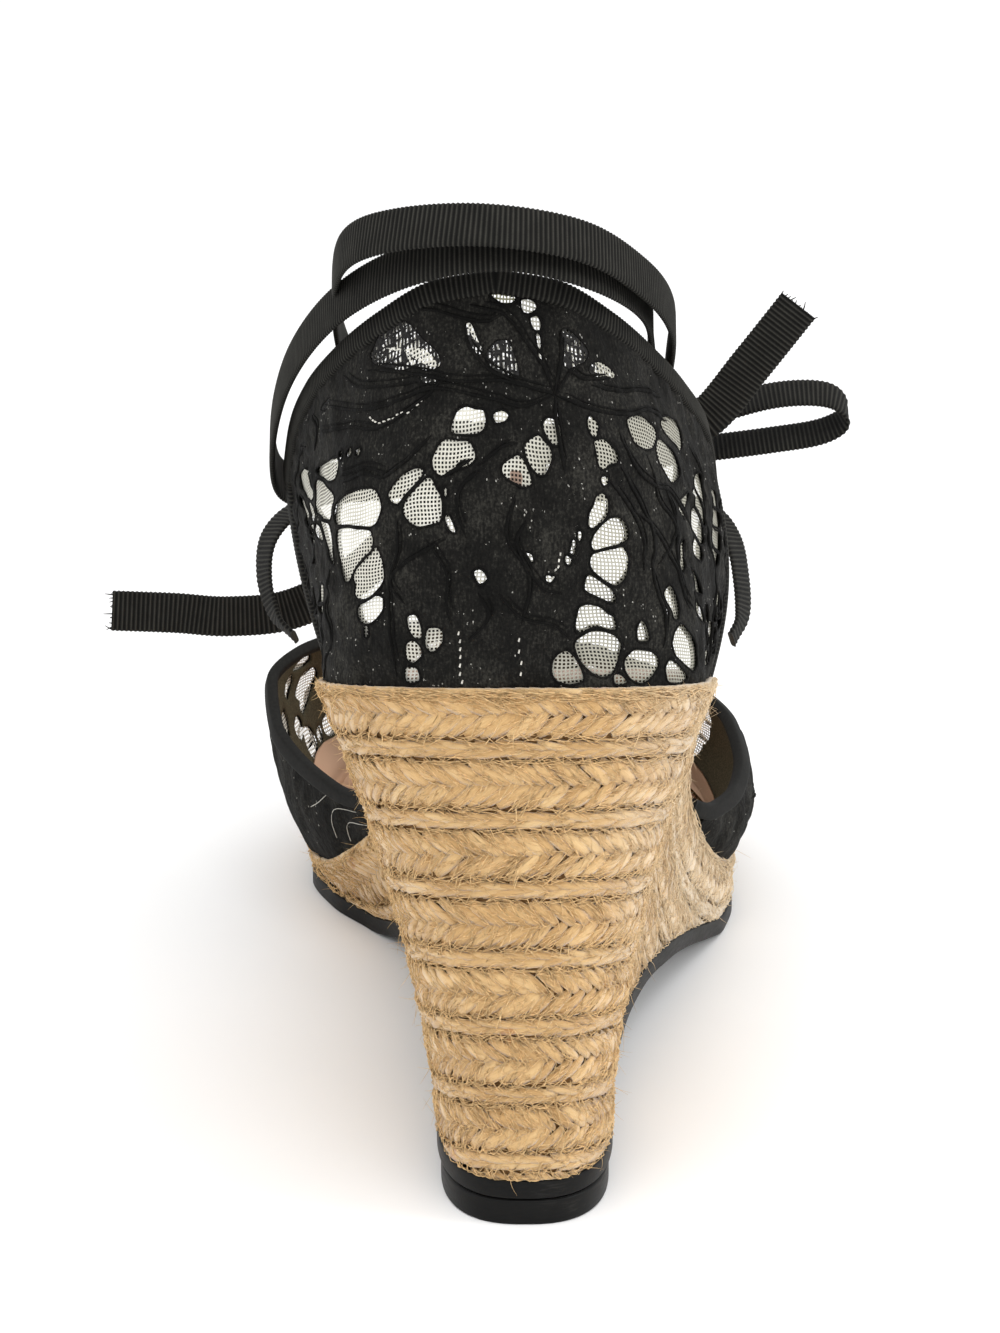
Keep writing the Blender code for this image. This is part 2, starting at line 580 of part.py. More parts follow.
def make_band(name, rows, across, count, parts):
    """Stretch of ribbon whose width always lies along the one direction across."""
    path = resample(rows, count)
    face = np.cross(np.array(across, float), np.gradient(path, axis=0))
    return strip(name, path, face, RIBBON_WIDTH, RIBBON_THICKNESS, "black_ribbon", parts)


def main():
    parts, cutters = start_scene()
    make_lift(parts)
    make_outsole(parts)
    make_wedge(parts, cutters)
    make_insole(parts)
    make_counter(parts)
    make_counter_binding(parts)
    make_vamp(parts)
    make_vamp_binding(parts)
    make_band("ankle_tie", TIE_ROWS, TIE_ACROSS, 78, parts)
    make_knot(parts)
    for name, rows in STRAND_ROWS.items():
        make_band(name, rows, STRAND_ACROSS, 30, parts)
    for name, rows in BOW_ROWS.items():
        make_band(name, rows, LOOP_ACROSS, 30, parts)
    for name, (face, rows) in END_ROWS.items():
        make_free_ribbon(name, rows, face, parts)


main()
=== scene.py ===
# Lace wedge pump with ankle ties, right shoe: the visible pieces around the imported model.
# Lengths in the settings are millimetres; the mesh builder turns them into metres.
import math

import bpy
import numpy as np
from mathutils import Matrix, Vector
from mathutils.geometry import delaunay_2d_cdt


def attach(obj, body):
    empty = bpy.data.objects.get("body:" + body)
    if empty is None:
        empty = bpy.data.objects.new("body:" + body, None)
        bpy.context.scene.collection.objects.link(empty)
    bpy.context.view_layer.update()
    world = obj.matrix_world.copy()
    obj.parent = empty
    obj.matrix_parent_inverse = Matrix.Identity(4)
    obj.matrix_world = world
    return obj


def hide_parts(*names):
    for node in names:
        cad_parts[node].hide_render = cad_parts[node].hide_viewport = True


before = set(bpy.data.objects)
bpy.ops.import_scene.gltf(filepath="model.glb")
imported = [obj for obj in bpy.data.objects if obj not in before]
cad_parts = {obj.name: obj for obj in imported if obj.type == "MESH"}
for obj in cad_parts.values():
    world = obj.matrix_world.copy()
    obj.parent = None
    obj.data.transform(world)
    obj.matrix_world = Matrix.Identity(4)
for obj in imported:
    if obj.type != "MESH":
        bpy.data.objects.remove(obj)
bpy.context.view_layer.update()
mm = 0.001
chance = np.random.default_rng(38)


# ---- helpers of the scene

viewSettings = dict(
    eye=(-0.0047, -0.8298, 0.380),     # where the viewer stands, behind the heel
    aim=(-0.0045, 0.0200, 0.0895),     # the middle of the shoe
    lens=180.0, sensor=36.0,           # focal length and width of the sensor, in mm
    near=0.02,
)


def addObject(name, data, place=None, aim=None):
    # a new object in the scene, turned from its place towards its aim
    made = bpy.data.objects.new(name, data)
    bpy.context.scene.collection.objects.link(made)
    if place is not None:
        made.location = place
        made.rotation_euler = (Vector(aim) - Vector(place)).to_track_quat("-Z", "Y").to_euler()
    return made


def setCamera():
    s = viewSettings
    data = bpy.data.cameras.new("shoeCamera")
    data.sensor_fit = "HORIZONTAL"
    data.sensor_width, data.lens, data.clip_start = s["sensor"], s["lens"], s["near"]
    bpy.context.scene.camera = addObject("shoeCamera", data, s["eye"], s["aim"])


setCamera()
print("camera set")


# ---- mesh building

def buildPiece(name, points, groups, material, stands=(), uv=None, tone=None):
    # points in millimetres and arrays of faces, each with its own corner count, become one object
    groups = [np.asarray(g, int) for g in groups if len(g)]
    corners = np.concatenate([g.ravel() for g in groups])
    sizes = np.concatenate([np.full(len(g), g.shape[1]) for g in groups])
    mesh = bpy.data.meshes.new(name)
    mesh.vertices.add(len(points))
    mesh.vertices.foreach_set("co", (np.asarray(points, float) * mm).ravel())
    mesh.loops.add(len(corners))
    mesh.loops.foreach_set("vertex_index", corners)
    mesh.polygons.add(len(sizes))
    mesh.polygons.foreach_set("loop_start", np.concatenate([[0], np.cumsum(sizes)[:-1]]))
    mesh.polygons.foreach_set("loop_total", sizes)
    mesh.polygons.foreach_set("use_smooth", np.full(len(sizes), True))
    if uv is not None:
        layer = mesh.uv_layers.new(name="UVMap")
        layer.data.foreach_set("uv", np.asarray(uv, float)[corners].ravel())
    if tone is not None:
        layer = mesh.attributes.new("tone", "FLOAT", "POINT")
        layer.data.foreach_set("value", np.asarray(tone, float).ravel())
    mesh.update(calc_edges=True)
    mesh.validate()
    mesh.materials.append(material)
    piece = addObject(name, mesh)
    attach(piece, "root")
    if stands:
        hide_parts(*stands)
    return piece


def gridFaces(rows, cols, closed=False, start=0):
    # four-cornered faces of rows of points, each row a ring; closed joins the last row to the first
    i, j = np.meshgrid(np.arange(rows if closed else rows - 1), np.arange(cols), indexing="ij")
    k, l = (i + 1) % rows, (j + 1) % cols
    return start + np.stack([i * cols + j, k * cols + j, k * cols + l, i * cols + l], axis=-1).reshape(-1, 4)


def rungs(size, start=0, turned=False):
    # a closed ring of points capped by rungs between partners on its two sides
    j = np.arange(size // 2 - 1)
    cap = start + np.stack([j, j + 1, size - 2 - j, size - 1 - j], axis=1)
    return cap[:, ::-1] if turned else cap


def manyTubes(count, rings, around, turned=False):
    # faces of count equal capped tubes whose points are numbered tube by tube and ring by ring
    offsets = np.arange(count)[:, None] * rings * around
    walls = (gridFaces(rings, around)[None] + offsets[..., None]).reshape(-1, 4)
    ends = np.arange(around)[None] + offsets
    near, far = ends[:, ::-1], ends + (rings - 1) * around
    return [walls[:, ::-1], ends, far[:, ::-1]] if turned else [walls, near, far]


def unit(v):
    return v / np.maximum(np.linalg.norm(v, axis=-1, keepdims=True), 1e-12)


def runAlong(path):
    # distance from the start for each point of a path
    step = np.linalg.norm(np.diff(path, axis=0), axis=1)
    return np.concatenate([[0.0], np.cumsum(step)])


def smoothPath(rows, step):
    # evenly spaced points, step apart, on the Catmull-Rom curve through the rows
    p = np.asarray(rows, float)
    p = np.concatenate([[2 * p[0] - p[1]], p, [2 * p[-1] - p[-2]]])
    t = np.linspace(0, 1, 12, endpoint=False)[:, None]
    fine = [b + 0.5 * ((c - a) * t + (2 * a - 5 * b + 4 * c - d) * t ** 2 + (3 * b - a - 3 * c + d) * t ** 3)
            for a, b, c, d in zip(p, p[1:], p[2:], p[3:])]
    return evenPath(np.concatenate(fine + [p[-2:-1]]), step)


def readAlong(columns, run, at):
    # each column of numbers, known at the distances run, read at other distances
    return np.stack([np.interp(at, run, column) for column in columns.T], axis=1)


def evenPath(path, step):
    run = runAlong(path)
    return readAlong(path, run, np.linspace(0, run[-1], max(int(run[-1] / step), 3) + 1))


def softened(path, reach):
    # a path whose bends are rounded by averaging over reach points on either side
    kernel = np.hanning(2 * reach + 3)[1:-1]
    kernel /= kernel.sum()
    padded = np.concatenate([np.repeat(path[:1], reach, 0), path, np.repeat(path[-1:], reach, 0)])
    out = np.stack([np.convolve(column, kernel, "valid") for column in padded.T], axis=1)
    out[0], out[-1] = path[0], path[-1]
    return out


# ---- shader nodes as expressions

class Field:
    # a socket that takes part in sums and products
    def __init__(self, tree, socket):
        self.tree, self.socket = tree, socket

    def calculate(self, operation, *values):
        node = self.tree.nodes.new("ShaderNodeMath")
        node.operation = operation
        for slot, value in zip(node.inputs, values):
            if isinstance(value, Field):
                self.tree.links.new(value.socket, slot)
            else:
                slot.default_value = value
        return Field(self.tree, node.outputs[0])

    def __add__(self, other): return self.calculate("ADD", self, other)
    def __radd__(self, other): return self.calculate("ADD", other, self)
    def __sub__(self, other): return self.calculate("SUBTRACT", self, other)
    def __rsub__(self, other): return self.calculate("SUBTRACT", other, self)
    def __mul__(self, other): return self.calculate("MULTIPLY", self, other)
    def __rmul__(self, other): return self.calculate("MULTIPLY", other, self)
    def __truediv__(self, other): return self.calculate("DIVIDE", self, other)
    def __gt__(self, other): return self.calculate("GREATER_THAN", self, other)
    def __lt__(self, other): return self.calculate("LESS_THAN", self, other)
    def __abs__(self): return self.calculate("ABSOLUTE", self)
    def fraction(self): return self.calculate("FRACT", self)
    def least(self, other): return self.calculate("MINIMUM", self, other)
    def limited(self): return self.calculate("MAXIMUM", self, 0.0).least(1.0)


class Finish:
    # one material: constant sockets first, then node by node
    def __init__(self, name, colour, **constants):
        self.material = bpy.data.materials.new(name)
        self.material.use_nodes = True
        self.tree = self.material.node_tree
        self.shader = self.tree.nodes["Principled BSDF"]
        self.shader.inputs["Base Color"].default_value = (*colour, 1)
        self.material.diffuse_color = (*colour, 1)
        for key, value in constants.items():
            self.shader.inputs[key.replace("_", " ")].default_value = value

    def node(self, kind, sockets=None, out=0, **settings):
        node = self.tree.nodes.new("ShaderNode" + kind)
        for key, value in settings.items():
            setattr(node, key, value)
        for key, value in (sockets or {}).items():
            if isinstance(value, Field):
                self.tree.links.new(value.socket, node.inputs[key])
            else:
                node.inputs[key].default_value = value
        return Field(self.tree, node.outputs[out])

    def objectMm(self, *stretch):
        # object coordinates in millimetres, each axis stretched
        place = self.node("TexCoord", out="Object")
        scale = tuple(1000.0 * v for v in stretch or (1, 1, 1))
        return self.node("VectorMath", {0: place, 1: scale}, operation="MULTIPLY")

    def uvMm(self, *stretch):
        place = self.node("UVMap", uv_map="UVMap")
        return self.node("VectorMath", {0: place, 1: (*(stretch or (1, 1)), 1)}, operation="MULTIPLY")

    def part(self, vector, axis):
        return self.node("SeparateXYZ", {0: vector}, axis)

    def noise(self, vector, scale, detail=2.0, roughness=0.5):
        sockets = {"Vector": vector, "Scale": scale, "Detail": detail, "Roughness": roughness}
        return self.node("TexNoise", sockets)

    def spots(self, vector, scale, **settings):
        return self.node("TexVoronoi", {"Vector": vector, "Scale": scale}, "Distance", **settings)

    def ramp(self, value, *stops):
        # each stop is a place followed by its colour
        made = self.node("ValToRGB", {0: value})
        elements = made.socket.node.color_ramp.elements
        while len(elements) < len(stops):
            elements.new(0.5)
        for element, (place, *colour) in zip(elements, stops):
            element.position, element.color = place, (*colour, 1)
        return made

    def mixed(self, factor, first, second):
        sockets = {0: factor, 6: first, 7: (*second, 1)}
        return self.node("Mix", sockets, 2, data_type="RGBA")

    def feed(self, **fields):
        for name, field in fields.items():
            self.tree.links.new(field.socket, self.shader.inputs[name.replace("_", " ")])

    def bumped(self, height, distance, strength):
        sockets = {"Height": height, "Distance": distance * mm, "Strength": strength}
        self.feed(Normal=self.node("Bump", sockets, "Normal"))
        return self.material


def shaded(colour, share):
    return tuple(share * c for c in colour)


def ribbonFinish():
    # matt black ribbed ribbon: the ribs are in the mesh, the yarn is a fine bump
    f = Finish("ribbonBlack", (0.010, 0.010, 0.010), Roughness=0.75, Specular_IOR_Level=0.14)
    uv = f.uvMm()
    yarn = f.noise(f.uvMm(1.6, 9.0), 1.0, 3.0, 0.6)
    wear = f.noise(uv, 0.25, 3.0)
    # painted highlight and shade on the ribs: lighter along each crest, darker in the hollows between them
    groove = abs((f.part(uv, "X") / 0.86).fraction() - 0.5) * 2.0
    body = f.ramp(yarn * 0.32 + wear * 0.20 + groove * 0.48, (0.28, 0.0022, 0.0021, 0.0018),
                  (0.50, 0.0082, 0.0079, 0.0066), (0.78, 0.042, 0.0405, 0.0345))
    f.feed(Base_Color=body, Roughness=0.62 + 0.25 * yarn)
    return f.bumped(yarn, 0.12, 0.7)


def laceFinish(name, shade):
    # matt black thread, the dark cords a share of the shade; where the net shows between the threads of
    # the ground it leaves rows of pale pinpricks
    f = Finish(name, (0.010, 0.010, 0.010), Roughness=0.85, Specular_IOR_Level=0.12)
    place = f.objectMm()
    weave = f.noise(place, 1.9, 4.0, 0.68)
    threads = f.noise(f.objectMm(1.6, 1.6, 0.35), 1.6, 3.0, 0.6)
    pucker = f.noise(f.objectMm(1, 1, 0.7), 0.42, 2.0, 0.55)
    zone = f.noise(place, 0.11, 2.0)
    grey, light = shaded((0.0088, 0.0084, 0.0073), shade), shaded((0.042, 0.040, 0.034), shade)
    body = f.ramp(weave * 0.42 + threads * 0.30 + zone * 0.28, (0.40, 0.0027, 0.0026, 0.0023),
                  (0.51, *grey), (0.65, *light))
    if shade == 1.0:
        uv = f.uvMm()
        luck = f.noise(uv, 0.8, 2.0, 0.7)
        thin = f.noise(uv, 0.17, 2.0)
        pricks = (f.spots(f.uvMm(1.35, 0.80), 1.0) < 0.18) * (luck * 0.55 + thin * 0.45 > 0.565)
        bright = f.noise(uv, 1.6, 1.0)
        body = f.mixed((pricks * bright * 1.25).least(1.0), body, (0.46, 0.45, 0.41))
    f.feed(Base_Color=body, Roughness=0.72 + 0.22 * weave)
    return f.bumped(weave * 0.35 + threads * 0.25 + pucker * 1.5, 0.55, 1.0)


def liningFinish(name, dark, light):
    # dark olive backing cloth on the inside of the lace
    f = Finish(name, dark, Roughness=0.85, Specular_IOR_Level=0.15)
    weave = f.noise(f.objectMm(), 3.0, 3.0, 0.6)
    f.feed(Base_Color=f.ramp(weave, (0.3, *dark), (0.7, *light)))
    return f.bumped(weave, 0.15, 0.6)


def netFinish(name, stains=()):
    # cream cotton net, yellowed in places; a stain is a place on the board, a radius and a colour
    f = Finish(name, (0.74, 0.72, 0.65), Roughness=0.7)
    tint = f.noise(f.uvMm(), 0.11, 2.0)
    yarn = f.noise(f.uvMm(), 2.2, 2.0)
    body = f.ramp(tint * 0.6 + yarn * 0.4, (0.3, 0.44, 0.42, 0.34), (0.5, 0.62, 0.605, 0.53),
                  (0.7, 0.73, 0.72, 0.66))
    if stains:
        # painted shade: greyer towards the outer side and the foot, where the inside of the heel lies in
        # shadow
        far = f.part(f.uvMm(), "X") * 0.05 + 0.45 - f.part(f.uvMm(), "Y") * 0.006
        body = f.mixed(far.limited() * 0.72, body, (0.27, 0.26, 0.205))
    blot = f.noise(f.uvMm(), 0.9, 2.0)
    for place, radius, colour in stains:
        away = f.node("VectorMath", {0: f.uvMm(), 1: (*place, 0)}, "Value", operation="DISTANCE")
        body = f.mixed((away / radius + blot < 1.35) * 0.75, body, colour)
    f.feed(Base_Color=body)
    return f.material


def sheerFinish():
    # black mesh over the half open leaves: upright slots, some of them closed by thicker thread
    f = Finish("sheerBlack", (0.010, 0.010, 0.010), Roughness=0.8, Specular_IOR_Level=0.12)
    uv = f.uvMm()
    wobble = f.noise(uv, 0.5, 1.0) * 0.8
    across = (f.part(uv, "X") / 0.92 + wobble).fraction()
    along = (f.part(uv, "Y") / 1.5 + wobble).fraction()
    closed = f.noise(uv, 0.55, 2.0) > 0.54
    slot = (across < 0.42) * (along < 0.72) * (1 - closed)
    body = f.ramp(f.noise(uv, 2.0, 3.0), (0.3, 0.005, 0.005, 0.005), (0.7, 0.03, 0.029, 0.028))
    f.feed(Base_Color=body, Alpha=1 - slot)
    return f.material


def paintedFlankLight(f, colour, field):
    # painted light: the jute is made paler along its outer flank, which the light from that side strikes
    flankLightMask = (f.part(f.objectMm(), "X") / 22.0 + field * 0.8 - 1.0).limited()
    return f.mixed(flankLightMask * 0.55, colour, (0.84, 0.73, 0.56))


def juteFinish():
    # plaited bast fibre: fine streaks along each strand, paler and redder strands, rare orange stains
    f = Finish("juteFibre", (0.60, 0.37, 0.16), Roughness=0.88, Sheen_Weight=0.75, Sheen_Roughness=0.42)
    streak = f.noise(f.uvMm(0.5, 7.0), 1.0, 4.0, 0.62)
    fine = f.noise(f.uvMm(1.4, 22.0), 1.0, 2.0, 0.6)
    tone = f.node("Attribute", out="Fac", attribute_name="tone")
    field = f.noise(f.objectMm(), 0.045, 2.0)
    stain = f.noise(f.objectMm(), 0.11, 1.0)
    body = f.ramp(streak * 0.36 + fine * 0.24 + tone * 0.22 + field * 0.18, (0.28, 0.33, 0.165, 0.048),
                  (0.42, 0.58, 0.350, 0.138), (0.54, 0.72, 0.475, 0.215), (0.72, 0.82, 0.605, 0.325))
    body = f.mixed((stain > 0.735) * 0.55, body, (0.50, 0.20, 0.055))
    # painted light: paler along the outer flank
    f.feed(Base_Color=paintedFlankLight(f, body, field), Roughness=0.75 + 0.2 * fine)
    return f.bumped(streak * 0.6 + fine * 0.4, 0.28, 0.9)


def strayFinish():
    # single fibres, with the same painted light on the outer flank as the strands under them
    f = Finish("strayFibre", (0.70, 0.485, 0.245), Roughness=0.8, Specular_IOR_Level=0.2)
    body = f.ramp(f.noise(f.objectMm(), 1.3, 2.0), (0.3, 0.49, 0.34, 0.172), (0.7, 0.91, 0.63, 0.32))
    f.feed(Base_Color=paintedFlankLight(f, body, f.noise(f.objectMm(), 0.045, 2.0)))
    return f.material


def coreFinish():
    # fibre seen between the strands, in their shade
    f = Finish("juteShadow", (0.16, 0.085, 0.03), Roughness=0.95)
    fibre = f.noise(f.objectMm(1, 1, 6), 0.9, 3.0, 0.6)
    f.feed(Base_Color=f.ramp(fibre, (0.3, 0.17, 0.083, 0.028), (0.7, 0.46, 0.27, 0.11)))
    return f.bumped(fibre, 0.3, 0.7)


def rubberFinish():
    # black moulded rubber, satin, with dust and fine scuffs
    f = Finish("soleRubber", (0.010, 0.010, 0.010), Roughness=0.45, Specular_IOR_Level=0.13)
    place = f.objectMm()
    scuff = f.noise(f.objectMm(0.5, 0.5, 3.0), 0.6, 4.0, 0.65)
    dust = f.noise(place, 0.12, 3.0)
    body = f.ramp(scuff * 0.5 + dust * 0.5, (0.35, 0.003, 0.003, 0.003), (0.6, 0.0065, 0.0065, 0.0062),
                  (0.8, 0.03, 0.028, 0.025))
    f.feed(Base_Color=body, Roughness=0.3 + 0.3 * scuff)
    return f.bumped(f.noise(place, 2.2, 3.0), 0.05, 0.5)


def leatherFinish():
    # smooth tan lining leather with a fine grain and darker rubbed places
    f = Finish("insoleLeather", (0.60, 0.36, 0.23), Roughness=0.5)
    place = f.objectMm()
    grain = f.spots(place, 1.7, feature="DISTANCE_TO_EDGE")
    wear = f.noise(place, 0.035, 3.0)
    body = f.ramp(wear, (0.3, 0.50, 0.285, 0.17), (0.5, 0.63, 0.385, 0.25), (0.75, 0.70, 0.455, 0.31))
    f.feed(Base_Color=body, Roughness=0.42 + 0.2 * wear)
    return f.bumped(grain.least(0.2), 0.12, 0.35)


def plainFinish(name, colour, spread):
    # one yarn colour with a little lightness variation along it
    f = Finish(name, colour, Roughness=0.8, Specular_IOR_Level=0.2)
    fibre = f.noise(f.objectMm(), 1.3, 2.0)
    f.feed(Base_Color=f.ramp(fibre, (0.3, *shaded(colour, 1 - spread)), (0.7, *shaded(colour, 1 + spread))))
    return f.material


counterStains = (((2.6, 39.6), 1.7, (0.17, 0.07, 0.035)), ((1.6, 69.6), 3.6, (0.30, 0.29, 0.13)))
finishes = dict(
    ribbon=ribbonFinish(), smoothTape=plainFinish("tapeBlack", (0.0075, 0.0072, 0.0062), 0.35),
    lace=laceFinish("laceBlack", 1.0), cord=laceFinish("laceCord", 0.32), sheer=sheerFinish(),
    counterLining=liningFinish("laceLining", (0.012, 0.011, 0.007), (0.040, 0.035, 0.023)),
    vampLining=liningFinish("laceLiningToe", (0.036, 0.031, 0.018), (0.110, 0.095, 0.060)),
    counterNet=netFinish("creamNet", counterStains), vampNet=netFinish("creamNetToe"),
    stitch=plainFinish("paleStitch", (0.62, 0.60, 0.54), 0.25),
    jute=juteFinish(), strayJute=strayFinish(), core=coreFinish(),
    rubber=rubberFinish(), leather=leatherFinish(),
)
print("finishes made")


# ---- ribbons: they follow the same routes as their solids

ribbonSettings = dict(
    width=8.0, thickness=0.75,
    ribPitch=0.86, ribHeight=0.19,
    step=0.215,                     # a quarter of a rib
    turnsAcross=(0.0, 0.67, 0.74),  # which way the width lies on the ankle turns
    strandAcross=dict(tie_strand_inner=(-0.35, 0.93, -0.1), tie_strand_outer=(0.35, 0.93, -0.1)),
    loopAcross=(0.0, 1.0, 0.35),
    endFace=(0.0, -1.0, 0.0),
    softening=9,                    # points on either side over which a bend is rounded
    section=(14, 0.32, 0.62),       # points round a tape, and the powers that flatten its width and lift
    frays=13, frayReach=1.5, frayRoot=0.6, frayRadius=0.17,
)

turnRows = (
    (-9.4, 64, 112), (-20, 62, 112.5), (-33, 55, 113.5), (-43.9, 44, 117), (-45.2, 32, 129.5),
    (-41, 14, 147.4), (-32, -4, 163), (-19, -18.5, 173.6), (-3.5, -22.4, 177), (11, -17.4, 172.4),
    (20, -2.2, 163), (21.8, 13.6, 151), (22.2, 29, 137.4), (16, 44, 126), (2, 53, 121.5), (-14, 52, 123),
    (-26, 41, 131), (-31.5, 24, 146), (-33, 8, 160), (-31, -8, 173), (-22.5, -19, 179.5),
    (-6.8, -24.5, 181.8), (9.3, -20.5, 178), (19.6, -9.5, 169), (24.9, 4, 159), (25.4, 21, 146.5),
    (23.6, 42, 127), (15, 57, 118), (5.4, 61.5, 114),
)
strandRows = {
    "tie_strand_inner": ((-42.6, 51.5, 84.5), (-46.4, 54, 88), (-48.4, 57, 94.5), (-47.4, 60, 101.5),
                         (-41.5, 64.5, 106), (-30, 68, 107.5), (-9.4, 69, 106)),
    "tie_strand_outer": ((38.6, 51.5, 84), (40.6, 54, 88), (40.4, 57, 94.5), (38.8, 60, 101),
                         (34, 64.5, 105.5), (23, 68, 107), (5.4, 69, 106)),
}
loopRows = ((5.4, 71, 116), (20, 72, 118), (34, 72, 121.8), (47, 72, 125.4), (57, 72, 125.4),
            (60.4, 72, 121.6), (56, 72, 118.4), (46, 72, 116.6), (34, 72, 115), (20, 72.5, 113),
            (5.4, 73, 111))
endRows = {
    "tie_end_outer": ((5.4, 65, 116.5), (16, 65, 118.6), (26, 63.5, 120.2), (34, 63.5, 123.6),
                      (42, 64, 133.5), (50.6, 65, 144.5)),
    "tie_end_inner": ((-9.4, 74.4, 109.5), (-20, 75, 100.5), (-32, 75, 89), (-44, 73.5, 82.8),
                      (-56, 72, 81.8), (-66, 71, 82.8), (-78, 70, 83.6)),
}


def sectionRing(count, widthPower, liftPower):
    # superellipse: across and lift of a tape's section, each from -1 to 1, seam on one edge
    turn = np.linspace(0, 2 * math.pi, count, endpoint=False)
    return (np.sign(wave) * np.abs(wave) ** power
            for wave, power in ((np.cos(turn), widthPower), (np.sin(turn), liftPower)))


def tape(name, path, face, shape, stands=()):
    # a ribbed band: its section is carried along the path, its faces rise and fall with every rib
    tangent = unit(np.gradient(path, axis=0))
    face = unit(face - tangent * np.sum(face * tangent, axis=1, keepdims=True))
    across = np.cross(face, tangent)
    run = runAlong(path)
    u, v = sectionRing(*ribbonSettings["section"])
    rib = np.cos(2 * math.pi * run / shape["ribPitch"])[:, None]
    side = u * (shape["width"] / 2 + 0.5 * rib * shape["ribHeight"])
    lift = v * (shape["thickness"] / 2 + shape["ribHeight"] * 0.5 * (1 + rib))
    points = path[:, None] + across[:, None] * side[..., None] + face[:, None] * lift[..., None]
    rows, cols = side.shape
    # upper and under side lie 10 mm apart in the texture's own map
    uv = np.stack([np.repeat(run[:, None], cols, 1), side + 10 * (v > 0)], axis=-1).reshape(-1, 2)
    faces = [gridFaces(rows, cols)[:, ::-1], rungs(cols), rungs(cols, (rows - 1) * cols, True)]
    material = finishes[shape.get("finish", "ribbon")]
    return buildPiece(name, points.reshape(-1, 3), faces, material, stands, uv)


def ribbon(node, rows, across=None, face=None, name=None):
    # the ribbon through the rows, which stands for a solid; its width lies across or its face looks out
    path = softened(smoothPath(rows, ribbonSettings["step"]), ribbonSettings["softening"])
    if across is not None:
        face = np.cross(np.array(across, float), np.gradient(path, axis=0))
    else:
        face = np.tile(np.array(face, float), (len(path), 1))
    return tape(name or node + "_ribbon", path, face, ribbonSettings, (node,)), path


def cordWords(path, withPieces=()):
    # every eighth point of a free stretch of ribbon's middle line, and the last, turned into metres; nothing
    # is done with them
    line = path[::8] if (len(path) - 1) % 8 == 0 else np.concatenate([path[::8], path[-1:]])
    tuple(path[0] * mm)
    [tuple(p * mm) for p in line]


def frayedEnd(name, path, face):
    # short loose yarns out of a cut end: each a thin tapered tube that wanders as it goes
    s = ribbonSettings
    tip, along = path[-1], unit(path[-1] - path[-6])
    across = unit(np.cross(np.array(face, float), along))
    side = np.linspace(-0.95, 0.95, s["frays"]) * s["width"] / 2
    t = np.linspace(0, 1, 6)[None, :, None]
    start = tip + across * side[:, None] - along * s["frayRoot"]
    length = s["frayReach"] * chance.uniform(0.45, 1.0, s["frays"])[:, None, None]
    bend = chance.normal(0, 0.55, (s["frays"], 1, 3))
    lines = start[:, None] + along * t * length + bend * t ** 2 * length * 0.6
    return tubes(name, lines, s["frayRadius"], finishes["ribbon"], 5)


def tubes(name, lines, radius, material, around, taper=0.6):
    # many thin tubes of equal point count: lines (tubes, points, 3), a ring of points round each
    count, size = lines.shape[:2]
    tangent = unit(np.gradient(lines, axis=1))
    helper = np.where(np.abs(tangent[..., 2:]) < 0.8, [[[0, 0, 1.0]]], [[[1.0, 0, 0]]])
    first = unit(np.cross(tangent, helper))
    second = np.cross(tangent, first)
    turn = np.linspace(0, 2 * math.pi, around, endpoint=False)
    thick = radius * (1 - taper * np.linspace(0, 1, size) ** 1.5)[None, :, None, None]
    ring = first[:, :, None] * np.cos(turn)[:, None] + second[:, :, None] * np.sin(turn)[:, None]
    points = lines[:, :, None] + ring * thick
    along = np.broadcast_to(np.linspace(0, 1, size)[None, :, None], (count, size, around))
    uv = np.stack([along, np.broadcast_to(turn / 6.28, along.shape)], axis=-1).reshape(-1, 2)
    groups = manyTubes(count, size, around, True)
    return buildPiece(name, points.reshape(-1, 3), groups, material, (), uv)


def makeRibbons():
    s = ribbonSettings
    ribbon("ankle_tie", turnRows, s["turnsAcross"], name="ankle_turns")
    loop, path = ribbon("bow_loop_outer", loopRows, s["loopAcross"], name="bow_loop_ribbon")
    cordWords(path)
    for node, rows in strandRows.items():
        strand, path = ribbon(node, rows, s["strandAcross"][node])
        cordWords(path)
    for node, rows in endRows.items():
        end, path = ribbon(node, rows, face=s["endFace"])
        cordWords(path, (frayedEnd(node + "_fray", path, s["endFace"]),))


makeRibbons()
print("ribbons made")


# ---- the knot: a pressed, folded ball with one turn of ribbon tight round it

knotSettings = dict(
    place=(-2.0, 68.5, 112.0), size=(12.6, 11.4, 13.4), squareness=4, folds=5, foldDepth=0.09,
    turnSize=(0.9, 6.2, 7.0), turnWidth=7.4, turnThickness=0.7,
)


